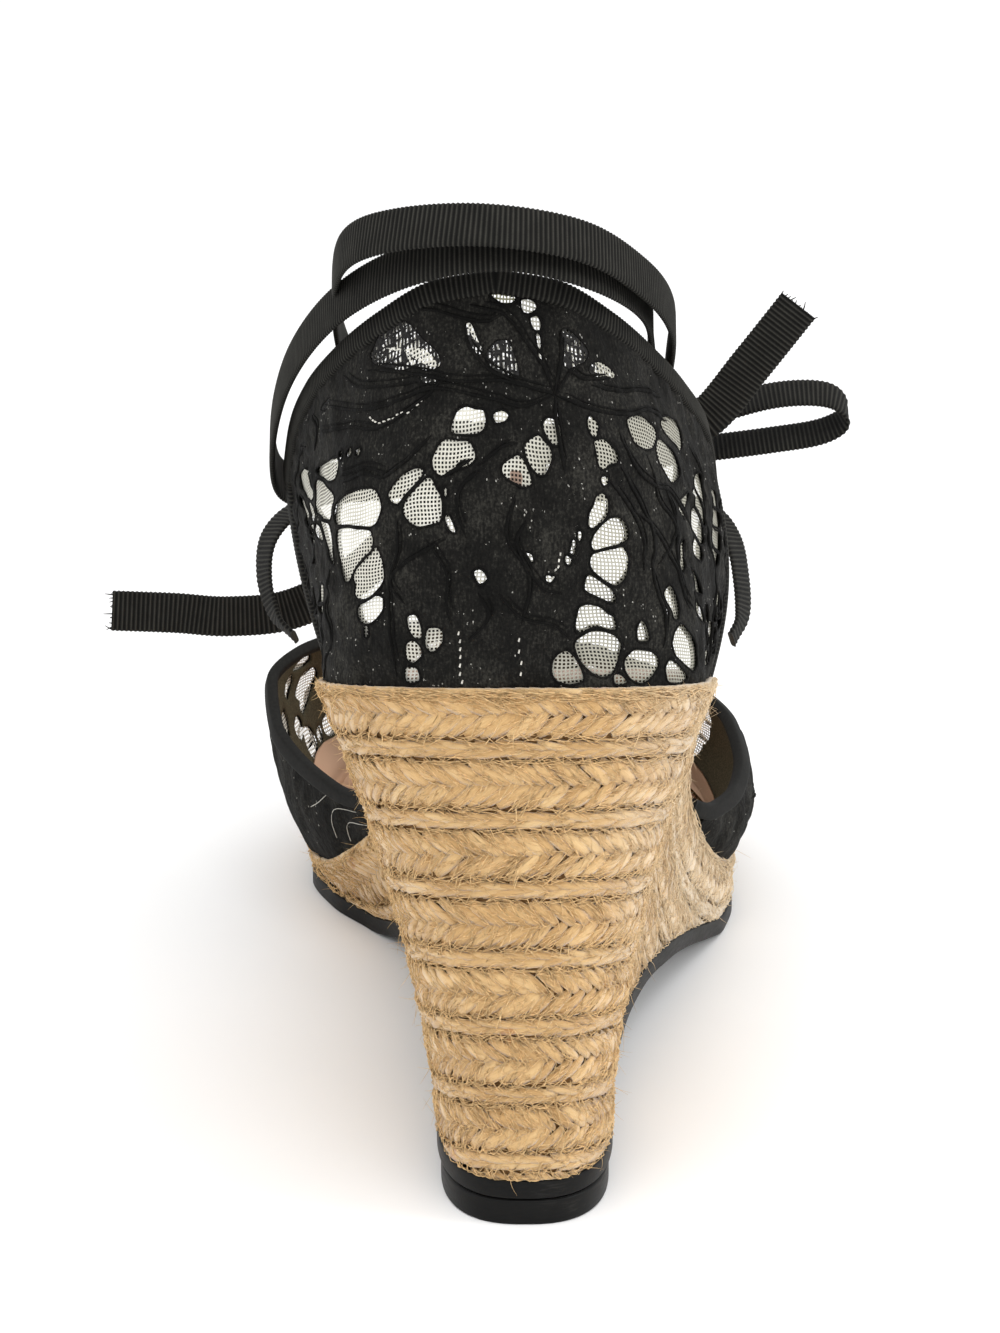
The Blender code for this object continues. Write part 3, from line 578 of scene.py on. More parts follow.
def makeKnot():
    # rounded box whose radius rises and falls round its long axis, as gathered cloth does
    s = knotSettings
    place = np.array(s["place"])
    turn = np.linspace(0, 2 * math.pi, 72, endpoint=False)
    rise = np.linspace(-0.5, 0.5, 41)[1:-1] * math.pi
    turn, rise = np.meshgrid(turn, rise)
    way = np.stack([np.cos(rise) * np.cos(turn), np.cos(rise) * np.sin(turn), np.sin(rise)], axis=-1)
    reach = (np.abs(way) ** s["squareness"]).sum(axis=-1) ** (1 / s["squareness"])
    fold = 1 - s["foldDepth"] * np.abs(np.sin(s["folds"] * turn + 2.2 * rise)) * np.cos(rise)
    ball = way / reach[..., None] * np.array(s["size"]) / 2 * fold[..., None] + place
    rows, cols = ball.shape[:2]
    points = np.concatenate([ball.reshape(-1, 3), [ball[0].mean(axis=0), ball[-1].mean(axis=0)]])
    ends, pole = np.arange(cols), rows * cols
    low = np.stack([ends, np.full(cols, pole), (ends + 1) % cols], axis=1)
    high = np.stack([(ends + 1) % cols + pole - cols, np.full(cols, pole + 1), ends + pole - cols], axis=1)
    uv = np.concatenate([np.stack([turn * 6, rise * 6], axis=-1).reshape(-1, 2), np.zeros((2, 2))])
    buildPiece("knot_body", points, [gridFaces(rows, cols)[:, ::-1], low, high],
               finishes["ribbon"], ("bow_knot",), uv)
    around = np.linspace(0, 2 * math.pi, 200)
    loop = np.stack([np.sin(around), np.cos(around), np.sin(around)], axis=1)
    loop[:, 1:] /= (np.abs(loop[:, 1:]) ** 4).sum(axis=1, keepdims=True) ** 0.25
    path = evenPath(loop * s["turnSize"] + place, ribbonSettings["step"])
    face = (path - place) * (0, 1, 1)
    tape("knot_turn", path, face, dict(ribbonSettings, width=s["turnWidth"], thickness=s["turnThickness"]))


makeKnot()
print("knot made")


# ---- the last and sole, from the same named columns as the solids

soleColumns = ("y", "top", "under", "topOuter", "topInner", "footOuter", "footInner")
soleRows = (
    (-27, 100.7, 5.0, 34.8, 34.2, 15.8, 15.8),
    (0, 92.8, 5.0, 35.0, 34.4, 15.8, 15.8),
    (25, 84.6, 5.0, 36.0, 34.4, 16.4, 15.8),
    (45, 74.6, 9.6, 35.4, 34.0, 19.4, 16.6),
    (62, 61.5, 10.6, 33.2, 31.8, 23.6, 17.6),
    (78, 45.6, 9.2, 32.2, 29.4, 28.8, 19.2),
    (92, 31.4, 6.2, 34.4, 29.6, 33.2, 21.6),
    (105, 20.6, 2.6, 38.2, 35.4, 37.6, 25.4),
    (116, 14.4, 0.0, 41.8, 40.4, 41.0, 31.0),
    (128, 12.2, 0.0, 43.4, 43.4, 43.0, 38.6),
    (144, 12.0, 0.0, 42.4, 44.0, 42.2, 43.4),
    (150, 12.0, 0.0, 42.4, 44.0, 42.2, 43.4),
    (166, 12.6, 0.6, 42.4, 44.0, 42.2, 43.4),
    (186, 15.4, 3.4, 42.4, 44.0, 42.2, 43.4),
    (203, 19.6, 7.6, 42.4, 44.0, 42.2, 43.4),
)
soleSettings = dict(
    seatBack=-27.0, heelCap=2.0, toeCap=144.0, toeTip=203.0, toeDrift=-5.0,
    heelRake=3.0, heelLean=-2.2, heelSquareness=0.78, toeFullness=1.06, sideFlare=1.6,
    outsole=3.5, ledge=0.2, insole=2.2, insoleInset=4.6, seam=0.3,
    liftThickness=4.7, liftBack=-24.0, liftFront=24.0, liftHalf=15.2,
)


def columnAt(rows, names, key, at):
    # one named column of a table, read by a monotone cubic along its first column
    table = np.array(rows, float)
    x, y = table[:, 0], table[:, names.index(key)]
    step = np.diff(x)
    slope = np.diff(y) / step
    tangent = np.zeros_like(y)
    tangent[0], tangent[-1] = slope[0], slope[-1]
    same = slope[:-1] * slope[1:] > 0
    w1, w2 = 2 * step[1:] + step[:-1], step[1:] + 2 * step[:-1]
    with np.errstate(divide="ignore", invalid="ignore"):
        mean = (w1 + w2) / (w1 / slope[:-1] + w2 / slope[1:])
    tangent[1:-1] = np.where(same, mean, 0.0)
    at = np.asarray(at, float)
    i = np.clip(np.searchsorted(x, at) - 1, 0, len(x) - 2)
    t = np.clip((at - x[i]) / step[i], 0, 1)
    h00, h10 = (1 + 2 * t) * (1 - t) ** 2, t * (1 - t) ** 2
    h01, h11 = t * t * (3 - 2 * t), t * t * (t - 1)
    return h00 * y[i] + h10 * step[i] * tangent[i] + h01 * y[i + 1] + h11 * step[i] * tangent[i + 1]


def sole(key, y):
    return columnAt(soleRows, soleColumns, key, y)


def denseStations():
    # places along the sole and the share of the full width at each, close together round heel and toe
    s = soleSettings
    turn = np.radians(np.linspace(1.2, 88, 30))
    heelY = s["heelCap"] - (s["heelCap"] - s["seatBack"]) * np.cos(turn) ** s["heelSquareness"]
    heelWidth = np.sin(turn) ** s["heelSquareness"]
    middle = np.arange(s["heelCap"] + 1.5, s["toeCap"] - 0.5, 2.0)
    turn = np.radians(np.linspace(1, 88.5, 44))
    toeY = s["toeCap"] + (s["toeTip"] - s["toeCap"]) * np.sin(turn)
    toeWidth = np.cos(turn) ** s["toeFullness"]
    return np.concatenate([heelY, middle, toeY]), np.concatenate([heelWidth, np.ones(len(middle)), toeWidth])


stationY, stationWidth = denseStations()
topLine, underLine = sole("top", stationY), sole("under", stationY)


def footbed(y):
    return np.interp(y, stationY, topLine)


def underside(y):
    return np.interp(y, stationY, underLine)


def movedIn(x, y, side, inset):
    # a line on one side of the sole moved square to itself, inwards
    along = unit(np.stack([np.gradient(x), np.gradient(y)], axis=-1))
    return x - side * inset * along[:, 1], y + side * inset * along[:, 0]


def outline(side, share, inset=0.0):
    # plan of the sole at a share of its height, 0 at the foot and 1 at the top; side +1 outer, -1 inner
    s = soleSettings
    edge = "Outer" if side > 0 else "Inner"
    share = np.clip(share, 0, 1)
    wide, narrow = sole("top" + edge, stationY), sole("foot" + edge, stationY)
    half = narrow + (wide - narrow) * share ** s["sideFlare"]
    behind = stationY <= s["heelCap"]
    heelFade = np.clip(1 - stationY / 60, 0, 1) ** 2 * ~behind + behind
    toeFade = np.clip((stationY - s["toeCap"]) / (s["toeTip"] - s["toeCap"]), 0, 1) ** 2
    lean = s["heelLean"] * share * np.clip(1 - stationY / 90, 0, 1) + s["toeDrift"] * toeFade
    x = side * half * stationWidth + lean
    return movedIn(x, stationY + s["heelRake"] * (1 - share) * heelFade, side, inset)


def ringOf(build):
    # both edges as one ring, from the toe by the inner side and the heel to the toe again
    inner, outer = build(-1), build(1)
    return np.concatenate([inner[::-1], outer])


# ---- jute: plaits and thin cords laid on a surface of lines parallel to the footbed

juteSettings = dict(
    wideBand=8.1, thinBand=4.3, pairs=9,
    sink=1.10,               # the strands' bed lies this deep under the outer face
    firstBand=-0.6,          # the top band starts this far over the footbed's edge
    plait=dict(half=4.05, pitch=2.65, lean=6.0, wide=1.16, thick=0.46, rings=7, length=7.0),
    cord=dict(half=1.15, pitch=3.4, lean=8.0, wide=0.74, thick=0.52, rings=6, length=6.0),
    rim=dict(half=0.8, pitch=2.5, lean=4.6, wide=0.66, thick=0.44, rings=6),
    scatter=(0.20, 0.10, 0.09, 0.10),        # of each strand: along, across, lift and girth
    fibres=11500, edgeFibres=1800, gapFibres=3000, fibreRadius=0.10,
    fibreLength=(2.6, 7.0), edgeLength=(3.0, 9.0), gapLength=(2.5, 7.0),
    hairs=800, rimHairs=420, hairRadius=0.055, hairLength=(1.2, 4.4), rimHairLength=(1.2, 3.8),
    coreIn=0.35, coreLow=0.1, coreHigh=0.2,  # the core stays this far inside the strands' bed
    clear=0.15,                              # least height of a strand over the outsole
)
juteDepths = np.arange(-1.0, 113.0, 1.0)


def ringGrid(build, steps):
    # a ring of points for each step: build gives x, y and z along one side of the sole
    return np.array([ringOf(lambda side: np.stack(build(side, step), axis=1)) for step in steps])


def juteSurface():
    slope = np.hypot(1.0, np.gradient(topLine, stationY))
    span = topLine - underLine - soleSettings["outsole"]

    def line(side, depth):
        x, y = outline(side, 1 - depth * slope / span, juteSettings["sink"])
        return x, y, footbed(y) - depth * slope
    return ringGrid(line, juteDepths), ringOf(lambda side: span / slope)


juteGrid, juteReach = juteSurface()
down, around = np.gradient(juteGrid, axis=0), np.gradient(juteGrid, axis=1)
juteNormals = unit(np.cross(around, down))
if np.mean(np.sum(juteNormals * (juteGrid - juteGrid.mean(axis=1, keepdims=True)), axis=-1)) < 0:
    juteNormals = -juteNormals


def onJute(station, depth, lift):
    # point on the jute surface at a fractional station and depth, lifted square to it
    count = juteGrid.shape[1]
    station = np.mod(station, count)
    j = np.clip(depth - juteDepths[0], 0, len(juteDepths) - 1.001)
    i0, j0 = station.astype(int), j.astype(int)
    fi, fj = (station - i0)[..., None], (j - j0)[..., None]
    i0 = i0 % count
    i1 = (i0 + 1) % count
    out = 0
    for grid, weight in ((juteGrid, 1.0), (juteNormals, lift[..., None])):
        near = grid[j0, i0] * (1 - fi) + grid[j0, i1] * fi
        far = grid[j0 + 1, i0] * (1 - fi) + grid[j0 + 1, i1] * fi
        out = out + (near * (1 - fj) + far * fj) * weight
    lowest = underside(out[..., 1]) + soleSettings["outsole"] + juteSettings["clear"]
    out[..., 2] = np.maximum(out[..., 2], lowest)
    return out


def bandStarts(depth, pitch, shift):
    # stations, evenly spaced along the band's middle, their rate per mm and the jute's depth at each
    number = np.arange(juteGrid.shape[1] + 1, dtype=float)
    run = runAlong(onJute(number, np.full_like(number, depth), np.zeros_like(number)))
    count = int(run[-1] / pitch)
    at = (np.arange(count) + shift) * run[-1] / count
    stations = np.interp(at, run, number)
    rate = np.interp(at, run, np.gradient(number, run))
    return stations, rate, np.interp(stations, number, np.append(juteReach, juteReach[0]))


def strands(depth, kind):
    # one band's strands: each runs from an edge of the band down to its middle and under the other row
    points, tones = [], []
    for sign, shift in ((1, 0.0), (-1, 0.5)):
        stations, rate, reach = bandStarts(depth, kind["pitch"], shift)
        keep = reach > depth - kind["half"] * 0.75
        stations, rate = stations[keep], rate[keep]
        count = len(stations)
        t = np.linspace(0, 1, kind["rings"])[None, :]
        jitter = chance.normal(0, 1, (4, count, 1)) * np.reshape(juteSettings["scatter"], (4, 1, 1))
        along = kind["lean"] * t ** 0.92 + jitter[0]
        across = sign * (kind["half"] * (0.93 - 1.07 * t)) + jitter[1]
        lift = 0.62 - 0.62 * (1 - t) ** 7 - 0.85 * t ** 6 + jitter[2]
        body = ((1 - 0.62 * t ** 5 - 0.12 * (1 - t) ** 6) * (1 + jitter[3]))[..., None]
        slopeAlong, slopeAcross = np.gradient(along, axis=1), np.gradient(across, axis=1)
        size = np.hypot(slopeAlong, slopeAcross)
        turn = np.linspace(-0.5 * math.pi, 1.5 * math.pi, kind["rings"], endpoint=False)
        spread = kind["wide"] * body * np.cos(turn)
        rise = kind["thick"] * body * np.sin(turn)
        along = along[..., None] - spread * (slopeAcross / size)[..., None]
        across = across[..., None] + spread * (slopeAlong / size)[..., None]
        points.append(onJute(stations[:, None, None] + along * rate[:, None, None], depth - across,
                             lift[..., None] + rise))
        tones.append(chance.uniform(0.15, 0.85, count))
    return np.concatenate(points), np.concatenate(tones)


def strandPiece(name, bands, kind, stands=()):
    place, tone = (np.concatenate(part) for part in zip(*bands))
    count, rings = place.shape[:2]
    along = np.broadcast_to(np.linspace(0, kind["length"], rings)[:, None], (count, rings, rings))
    about = np.broadcast_to(np.linspace(0, 4, rings), along.shape)
    uv = np.stack([along + 9.7 * np.arange(count)[:, None, None], about], axis=-1).reshape(-1, 2)
    buildPiece(name, place.reshape(-1, 3), manyTubes(count, rings, rings), finishes["jute"], stands,
               uv, np.repeat(tone, rings * rings))


def makeJute():
    s = juteSettings
    plaits, cords = [], [strands(s["firstBand"] + 0.25, s["rim"])]
    for pair in range(s["pairs"]):
        depth = s["firstBand"] + pair * (s["wideBand"] + s["thinBand"])
        plaits.append(strands(depth + s["wideBand"] / 2, s["plait"]))
        cords.append(strands(depth + s["wideBand"] + s["thinBand"] / 2, s["cord"]))
    strandPiece("jute_plaits", plaits, s["plait"], ("wedge",))
    strandPiece("jute_cords", cords, s["cord"])


def makeCore():
    # the wedge's body between the strands, from the footbed down to the outsole
    s = juteSettings

    def line(side, share):
        x, y = outline(side, share, s["sink"] + s["coreIn"])
        low = underside(y) + soleSettings["outsole"] + s["coreLow"]
        return x, y, low + share * (footbed(y) - s["coreHigh"] - low)
    grid = ringGrid(line, np.linspace(1, 0, 26))
    count, size = grid.shape[:2]
    buildPiece("jute_core", grid.reshape(-1, 3),
               [gridFaces(count, size)[:, ::-1], rungs(size), rungs(size, (count - 1) * size, True)],
               finishes["core"])


juteStep = np.linalg.norm(np.roll(juteGrid, -1, axis=1) - juteGrid, axis=-1)[10]


def stationsBy(weight, count):
    # stations spread at random, evenly by the weight of each
    total = np.concatenate([[0], np.cumsum(weight)])
    at = np.interp(chance.uniform(0, total[-1], count), total, np.arange(len(total)))
    return np.minimum(at, len(total) - 1.001)


def scattered(count):
    # stations and depths spread evenly over the jute's area
    station = stationsBy(juteStep * np.maximum(juteReach, 2), count)
    return station, chance.uniform(0, 1, count) * juteReach[station.astype(int)]


def wander(root, out, length, wildness):
    # curved lines that leave the root along out and bend away at random
    count = len(root)
    t = np.linspace(0, 1, 6)[None, :, None]
    side = chance.normal(0, 1, (count, 1, 3))
    side -= out[:, None] * np.sum(side * out[:, None], axis=-1, keepdims=True)
    curl = chance.normal(0, 1, (count, 1, 3))
    length = length[:, None, None]
    lines = root[:, None] + out[:, None] * t * length * 0.5 + side * wildness * t * length * 0.42
    lines += curl * t ** 2 * length * 0.2
    return lines[lines[..., 2].min(axis=1) > 0.5]


def strayPiece(name, lines, radius, taper):
    tubes(name, lines, radius, finishes["strayJute"], 3, taper)


def makeHairs():
    # loose fibres standing off the plaits, and some that lie over the upper's foot
    s = juteSettings
    station, depth = scattered(s["hairs"])
    low, root, high = (onJute(station, depth, np.full(s["hairs"], lift)) for lift in (0.5, 1.2, 3.0))
    lines = wander(root, unit(high - low), chance.uniform(*s["hairLength"], s["hairs"]), 1.3)
    station, zero = stationsBy(juteStep, s["rimHairs"]), np.zeros(s["rimHairs"])
    root = onJute(station, zero + 0.3, zero + 0.6)
    out = unit(onJute(station, zero, zero + 2.0) - root) * 0.5
    out[:, 2] += 0.8
    rim = wander(root, unit(out), chance.uniform(*s["rimHairLength"], s["rimHairs"]), 1.2)
    strayPiece("jute_hairs", np.concatenate([lines, rim]), s["hairRadius"], 0.8)


def lyingLines(station, along, depth, lift, low, high):
    # lines on the jute: along is in mm from the station, the depth kept from low to high
    rate = 1 / juteStep[station.astype(int)]
    return onJute(station[:, None] + along * rate[:, None], np.clip(depth, low, high), lift)


def makeFibres():
    # fibres that lie on the plaits, near enough the way the strands run, and rise and sink as they go
    s = juteSettings
    t = np.linspace(-0.5, 0.5, 3)[None, :]
    arc, wave = 4 * t * t, np.cos(5.0 * t)

    def varied(count, deviation):
        return chance.normal(0, deviation, (count, 1))
    count, pair = s["fibres"], s["wideBand"] + s["thinBand"]
    station, depth = scattered(count)
    place = np.mod(depth - s["firstBand"], pair)
    wide = place < s["wideBand"]
    offset = np.where(wide, place - s["wideBand"] / 2, place - s["wideBand"] - s["thinBand"] / 2)
    lean = np.where(wide, *(s[kind]["lean"] / s[kind]["half"] for kind in ("plait", "cord")))
    length = chance.uniform(*s["fibreLength"], count)[:, None]
    angle = np.arctan2(1.0, lean)[:, None] + varied(count, 0.28)
    bend = varied(count, 0.10) * length * arc
    along = length * t * np.cos(angle) + bend * np.sin(angle)
    across = np.where(offset < 0, 1.0, -1.0)[:, None] * (length * t * np.sin(angle) - bend * np.cos(angle))
    lift = 1.12 + 0.30 * np.cos(1.8 * math.pi * t) + varied(count, 0.12) - np.where(wide, 0.0, 0.12)[:, None]
    lines = lyingLines(station, along, depth[:, None] + across, lift, -0.4, None)
    # along the top edge
    count = s["edgeFibres"]
    station, depth = stationsBy(juteStep, count), chance.uniform(-0.7, 1.2, count)[:, None]
    length = chance.uniform(*s["edgeLength"], count)[:, None]
    depth = depth + varied(count, 0.09) * length * arc + varied(count, 0.22) * length * t
    edge = lyingLines(station, length * t, depth, 1.15 + varied(count, 0.25) + 0.2 * wave, -0.95, 2.5)
    strayPiece("jute_fibres", np.concatenate([lines, edge]), s["fibreRadius"], 0.5)
    # over the grooves between bands
    count = s["gapFibres"]
    station, depth = scattered(count)
    groove = s["firstBand"] + np.floor((depth - s["firstBand"]) / pair) * pair
    groove += np.where(chance.uniform(0, 1, count) < 0.5, s["wideBand"], 0.0)
    depth = groove[:, None] + varied(count, 0.35)
    length = chance.uniform(*s["gapLength"], count)[:, None]
    depth = depth + varied(count, 0.20) * length * t + varied(count, 0.06) * length * arc
    bridge = lyingLines(station, length * t, depth, 0.86 + varied(count, 0.14) + 0.16 * wave, -0.5, 111)
    strayPiece("jute_bridges", bridge, s["fibreRadius"], 0.5)


makeCore()
makeJute()
makeFibres()
makeHairs()
print("jute made")


# ---- outsole, heel lift and insole: sheets with rounded edges on the same outline

def sheetPiece(name, build, lowZ, topZ, edge, material, stands):
    # profile round the edge: up the side with a quarter turn at the bottom and the top
    turn = np.linspace(0, math.pi / 2, 5)
    quarter = np.stack([edge * (1 - np.sin(turn)), edge * (1 - np.cos(turn))], axis=1)
    steps = [(inset, lowZ, grow) for inset, grow in quarter]
    steps += [(inset, topZ, -drop) for drop, inset in quarter]

    def line(side, step):
        inset, height, grow = step
        x, y = build(side, inset)
        return x, y, height(y) + grow
    grid = ringGrid(line, steps)
    count, size = grid.shape[:2]
    half, last = size // 2, (count - 1) * size
    # the top has points of its own across it, so that its shading follows the footbed
    share = np.linspace(0, 1, 9)[None, 1:-1, None]
    across = grid[-1, :half, None] * (1 - share) + grid[-1, ::-1][:half, None] * share
    across[..., 2] = topZ(across[..., 1])
    j = np.arange(half)[:, None]
    index = np.concatenate([last + j, count * size + np.arange(across[..., 0].size).reshape(half, -1),
                            last + size - 1 - j], axis=1)
    top = np.stack([index[:-1, :-1], index[1:, :-1], index[1:, 1:], index[:-1, 1:]], axis=-1).reshape(-1, 4)
    buildPiece(name, np.concatenate([grid.reshape(-1, 3), across.reshape(-1, 3)]),
               [gridFaces(count, size), rungs(size, 0, True), top], material, stands)


def liftEdge(side, inset):
    s = soleSettings
    turn = np.radians(np.linspace(2, 90, 26))
    y = np.concatenate([s["liftBack"] * np.cos(turn) ** s["heelSquareness"],
                        np.linspace(1.5, s["liftFront"], 12)])
    half = s["liftHalf"] * np.concatenate([np.sin(turn) ** s["heelSquareness"], np.linspace(1.0, 1.04, 12)])
    x, y = movedIn(side * half, y, side, inset)
    return x, np.minimum(y, s["liftFront"] - inset)


def makeSole():
    s = soleSettings
    sheetPiece("outsole_rubber", lambda side, inset: outline(side, 0.0, inset - s["ledge"]), underside,
               lambda y: underside(y) + s["outsole"], 0.5, finishes["rubber"], ("outsole",))
    sheetPiece("heel_lift_rubber", liftEdge, np.zeros_like, lambda y: np.full_like(y, s["liftThickness"]),
               0.45, finishes["rubber"], ("heel_lift",))
    sheetPiece("insole_leather", lambda side, inset: outline(side, 1.0, inset + s["insoleInset"]),
               lambda y: footbed(y) + s["seam"], lambda y: footbed(y) + s["seam"] + s["insole"],
               0.7, finishes["leather"], ("insole",))


makeSole()
print("sole made")


# ---- the upper's two surfaces, worked out as the solids are

upperSettings = dict(
    wall=1.5, inset=-0.3, plaitSwell=1.3, footGap=0.5,
    collarDrift=-5.2, counterFront=46.0, counterBackSwell=7.0, counterSideSwell=(3.6, 1.6),
    toplineTilt=4.6, toplineDrift=-1.0, vampBack=91.0, vampSideSwell=(5.2, 5.8),
    sideArch=40.0, toeArch=82.0,
)
collarColumns = toplineColumns = ("share", "y", "z", "outer", "inner")
collarRows = (
    (0.00, -17.0, 172.4, 0.0, 0.0),
    (0.14, -15.4, 170.2, 9.6, 9.8),
    (0.28, -9.6, 163.4, 18.4, 18.8),
    (0.43, 0.0, 154.6, 25.6, 26.4),
    (0.60, 12.0, 145.0, 31.6, 32.0),
    (0.80, 26.0, 134.0, 36.2, 35.6),
    (1.00, 38.5, 121.5, 37.8, 37.6),
)
toplineRows = (
    (0.00, 92.0, 37.6, 34.6, 29.4),
    (0.08, 101.0, 35.2, 38.6, 35.6),
    (0.19, 113.0, 35.0, 42.4, 42.2),
    (0.31, 127.0, 37.4, 44.4, 48.2),
    (0.44, 140.0, 41.4, 42.6, 49.6),
    (0.56, 150.0, 44.2, 36.5, 44.0),
    (0.70, 156.5, 46.4, 25.5, 31.0),
    (0.84, 159.5, 47.6, 13.0, 15.5),
    (1.00, 160.5, 48.0, 0.0, 0.0),
)


def halfLine(side):
    # line on the wedge's top that the upper's wall stands on, from the heel's middle to the toe's
    s = upperSettings
    inset = s["plaitSwell"] + s["inset"] + s["wall"] / 2
    line, other = (np.stack(outline(edge, 1.0, inset), axis=1) for edge in (side, -side))
    line = np.concatenate([(line[:1] + other[:1]) / 2, line, (line[-1:] + other[-1:]) / 2])
    return *line.T, runAlong(line)


halfLines = {side: halfLine(side) for side in (1, -1)}


def footOfUpper(side, startY, endY, share):
    x, y, run = halfLines[side]
    start, end = np.interp([startY, endY], y, run)
    at = start + (end - start) * share
    return np.stack([np.interp(at, run, x), np.interp(at, run, y)], axis=-1)


def footAndRim(rows, columns, share, outer, startY, endY, drift):
    # where a wall of the upper stands on the wedge, and its upper edge from the table
    foot = np.where(outer[..., None], *(footOfUpper(side, startY, endY, share) for side in (1, -1)))
    foot = np.concatenate([foot, (footbed(foot[..., 1]) + upperSettings["footGap"])[..., None]], axis=-1)
    y, z, right, left = (columnAt(rows, columns, key, share) for key in columns[1:])
    return foot, np.stack([drift + np.where(outer, right, -left), y, z], axis=-1)


def counterPoint(s, q):
    # heel quarter: s from the inner front edge (-1) round the back to the outer one (1), q up
    k = upperSettings
    share, outer = np.abs(s), s > 0
    foot, rim = footAndRim(collarRows, collarColumns, share, outer, soleSettings["seatBack"],
                           k["counterFront"], k["collarDrift"])
    back = np.cos(share * math.pi / 2) ** 2
    aside = np.where(outer, k["counterSideSwell"][0], -k["counterSideSwell"][1]) * (1 - back)
    swell = np.stack([aside, -k["counterBackSwell"] * back, np.zeros_like(back)], axis=-1)
    q = q[..., None]
    return foot + (rim - foot) * q + swell * np.sin(q * math.pi)


def vampPoint(s, q):
    # toe piece: s from the inner wing's end (-1) round the toe to the outer wing's end (1), q up
    k = upperSettings
    share, outer = 1 - np.abs(s), s > 0
    foot, rim = footAndRim(toplineRows, toplineColumns, share, outer, k["vampBack"],
                           soleSettings["toeTip"], k["toplineDrift"])
    side = np.where(outer, 1, -1)
    arch = np.maximum(np.sin(math.pi * np.clip(share, 0, 1)), 0)
    rim[..., 2] -= side * k["toplineTilt"] * arch ** 0.7
    swell = side * np.where(outer, k["vampSideSwell"][0], k["vampSideSwell"][1]) * arch ** 0.6
    swell = np.stack([swell, np.zeros_like(swell), np.zeros_like(swell)], axis=-1)
    q = q[..., None]
    turn = np.radians(k["sideArch"] + (k["toeArch"] - k["sideArch"]) * np.clip(share[..., None], 0, 1) ** 1.5)
    flat, level = (1 - np.cos(q * turn)) / (1 - np.cos(turn)), np.sin(q * turn) / np.sin(turn)
    blend = np.concatenate([flat, flat, level], axis=-1)
    return foot + (rim - foot) * blend + swell * np.maximum(np.sin(q * math.pi), 0) ** 0.7


def normalOf(surface, sign, s, q, step=1e-3):
    # outward normal from the steps of the surface along s and along q
    s = np.clip(s, -1 + step, 1 - step)
    across = surface(s + step, q) - surface(s - step, q)
    up = surface(s, q + step) - surface(s, q - step)
    return sign * unit(np.cross(across, up))


def crossSine(surface, s, q, step=1e-3):
    # sine of the angle at which the lines along s and along q cross
    across = surface(np.minimum(s + step, 1), q) - surface(np.maximum(s - step, -1), q)
    up = surface(s, np.minimum(q + step, 1)) - surface(s, np.maximum(q - step, 0))
    lengths = np.linalg.norm(across, axis=-1) * np.linalg.norm(up, axis=-1)
    return np.linalg.norm(np.cross(across, up), axis=-1) / lengths


def belowRim(surface, s, distance, square=True):
    # the q that lies a distance below the rim, square to it or along the line of s
    q = np.linspace(0, 1, 41)
    points = surface(np.repeat(s[:, None], len(q), 1), np.repeat(q[None], len(s), 0))
    step = np.linalg.norm(np.diff(points, axis=1), axis=2)
    left = np.concatenate([np.cumsum(step[:, ::-1], axis=1)[:, ::-1], np.zeros((len(s), 1))], axis=1)
    along = distance / (crossSine(surface, s, np.full(len(s), 0.98)) if square else np.ones(len(s)))
    return np.array([np.interp(-reach, -row, q) for reach, row in zip(along, left)])


# a flat drawing board for each part, in mm: how long half of it is, its height along the way, how far the
# lace stops under the edge tapes and short of the ends, and which way the surface's own normal looks
boards = dict(
    counter=dict(surface=counterPoint, sign=1, half=97.8, shares=(0, 1), heights=(74, 74), underTape=2.3,
                 end=0.978),
    vamp=dict(surface=vampPoint, sign=-1, half=132.0, shares=(0, .3, .6, .9, 1), heights=(54, 41, 27, 12, 8),
              underTape=1.9, end=0.968),
)


def boardHeight(board, s):
    return np.interp(np.abs(s), board["shares"], board["heights"])


def offBoard(board, flat, lift=0.0):
    # from the drawing board to the shoe: the surface point plus lift along its normal
    s = np.clip(flat[..., 0] / board["half"], -1, 1)
    q = flat[..., 1] / boardHeight(board, s)
    normal = normalOf(board["surface"], board["sign"], s, q)
    return board["surface"](s, q) + normal * lift, normal


def onBoard(board, charted):
    # from hundredths of half the length and of the height to the drawing board
    s, q = np.array(charted, float).T / 100
    return np.stack([s * board["half"], q * boardHeight(board, s)], axis=1)


# ---- the lace's drawing: open cells by their corners and raised cords by their points, on the boards

drawingSettings = dict(
    cuts=(0.16, 0.25), room=0.28,     # how far each corner is cut, twice, and room for the rim's thread
    bulge=0.29, narrowing=0.46,       # of a chain's cells: their sides, and half of their farther width
)


def rounded(corners):
    # corner cutting: each corner is cut twice, and the line moved out to leave room for its rim's thread
    p = np.asarray(corners, float)
    for cut in drawingSettings["cuts"]:
        ahead = np.roll(p, -1, axis=0)
        p = np.stack([(1 - cut) * p + cut * ahead, cut * p + (1 - cut) * ahead], axis=1).reshape(-1, 2)
    x, y = p.T
    way = np.sign(np.sum(x * np.roll(y, -1) - y * np.roll(x, -1)))
    along = unit(np.roll(p, -1, axis=0) - np.roll(p, 1, axis=0))
    return p + way * drawingSettings["room"] * np.stack([along[:, 1], -along[:, 0]], axis=1)


def closedLine(corners, step):
    # evenly spaced points round a closed line
    p = np.concatenate([corners, corners[:1]])
    run = runAlong(p)
    return readAlong(p, run, np.linspace(0, run[-1], max(int(run[-1] / step), 7), endpoint=False))


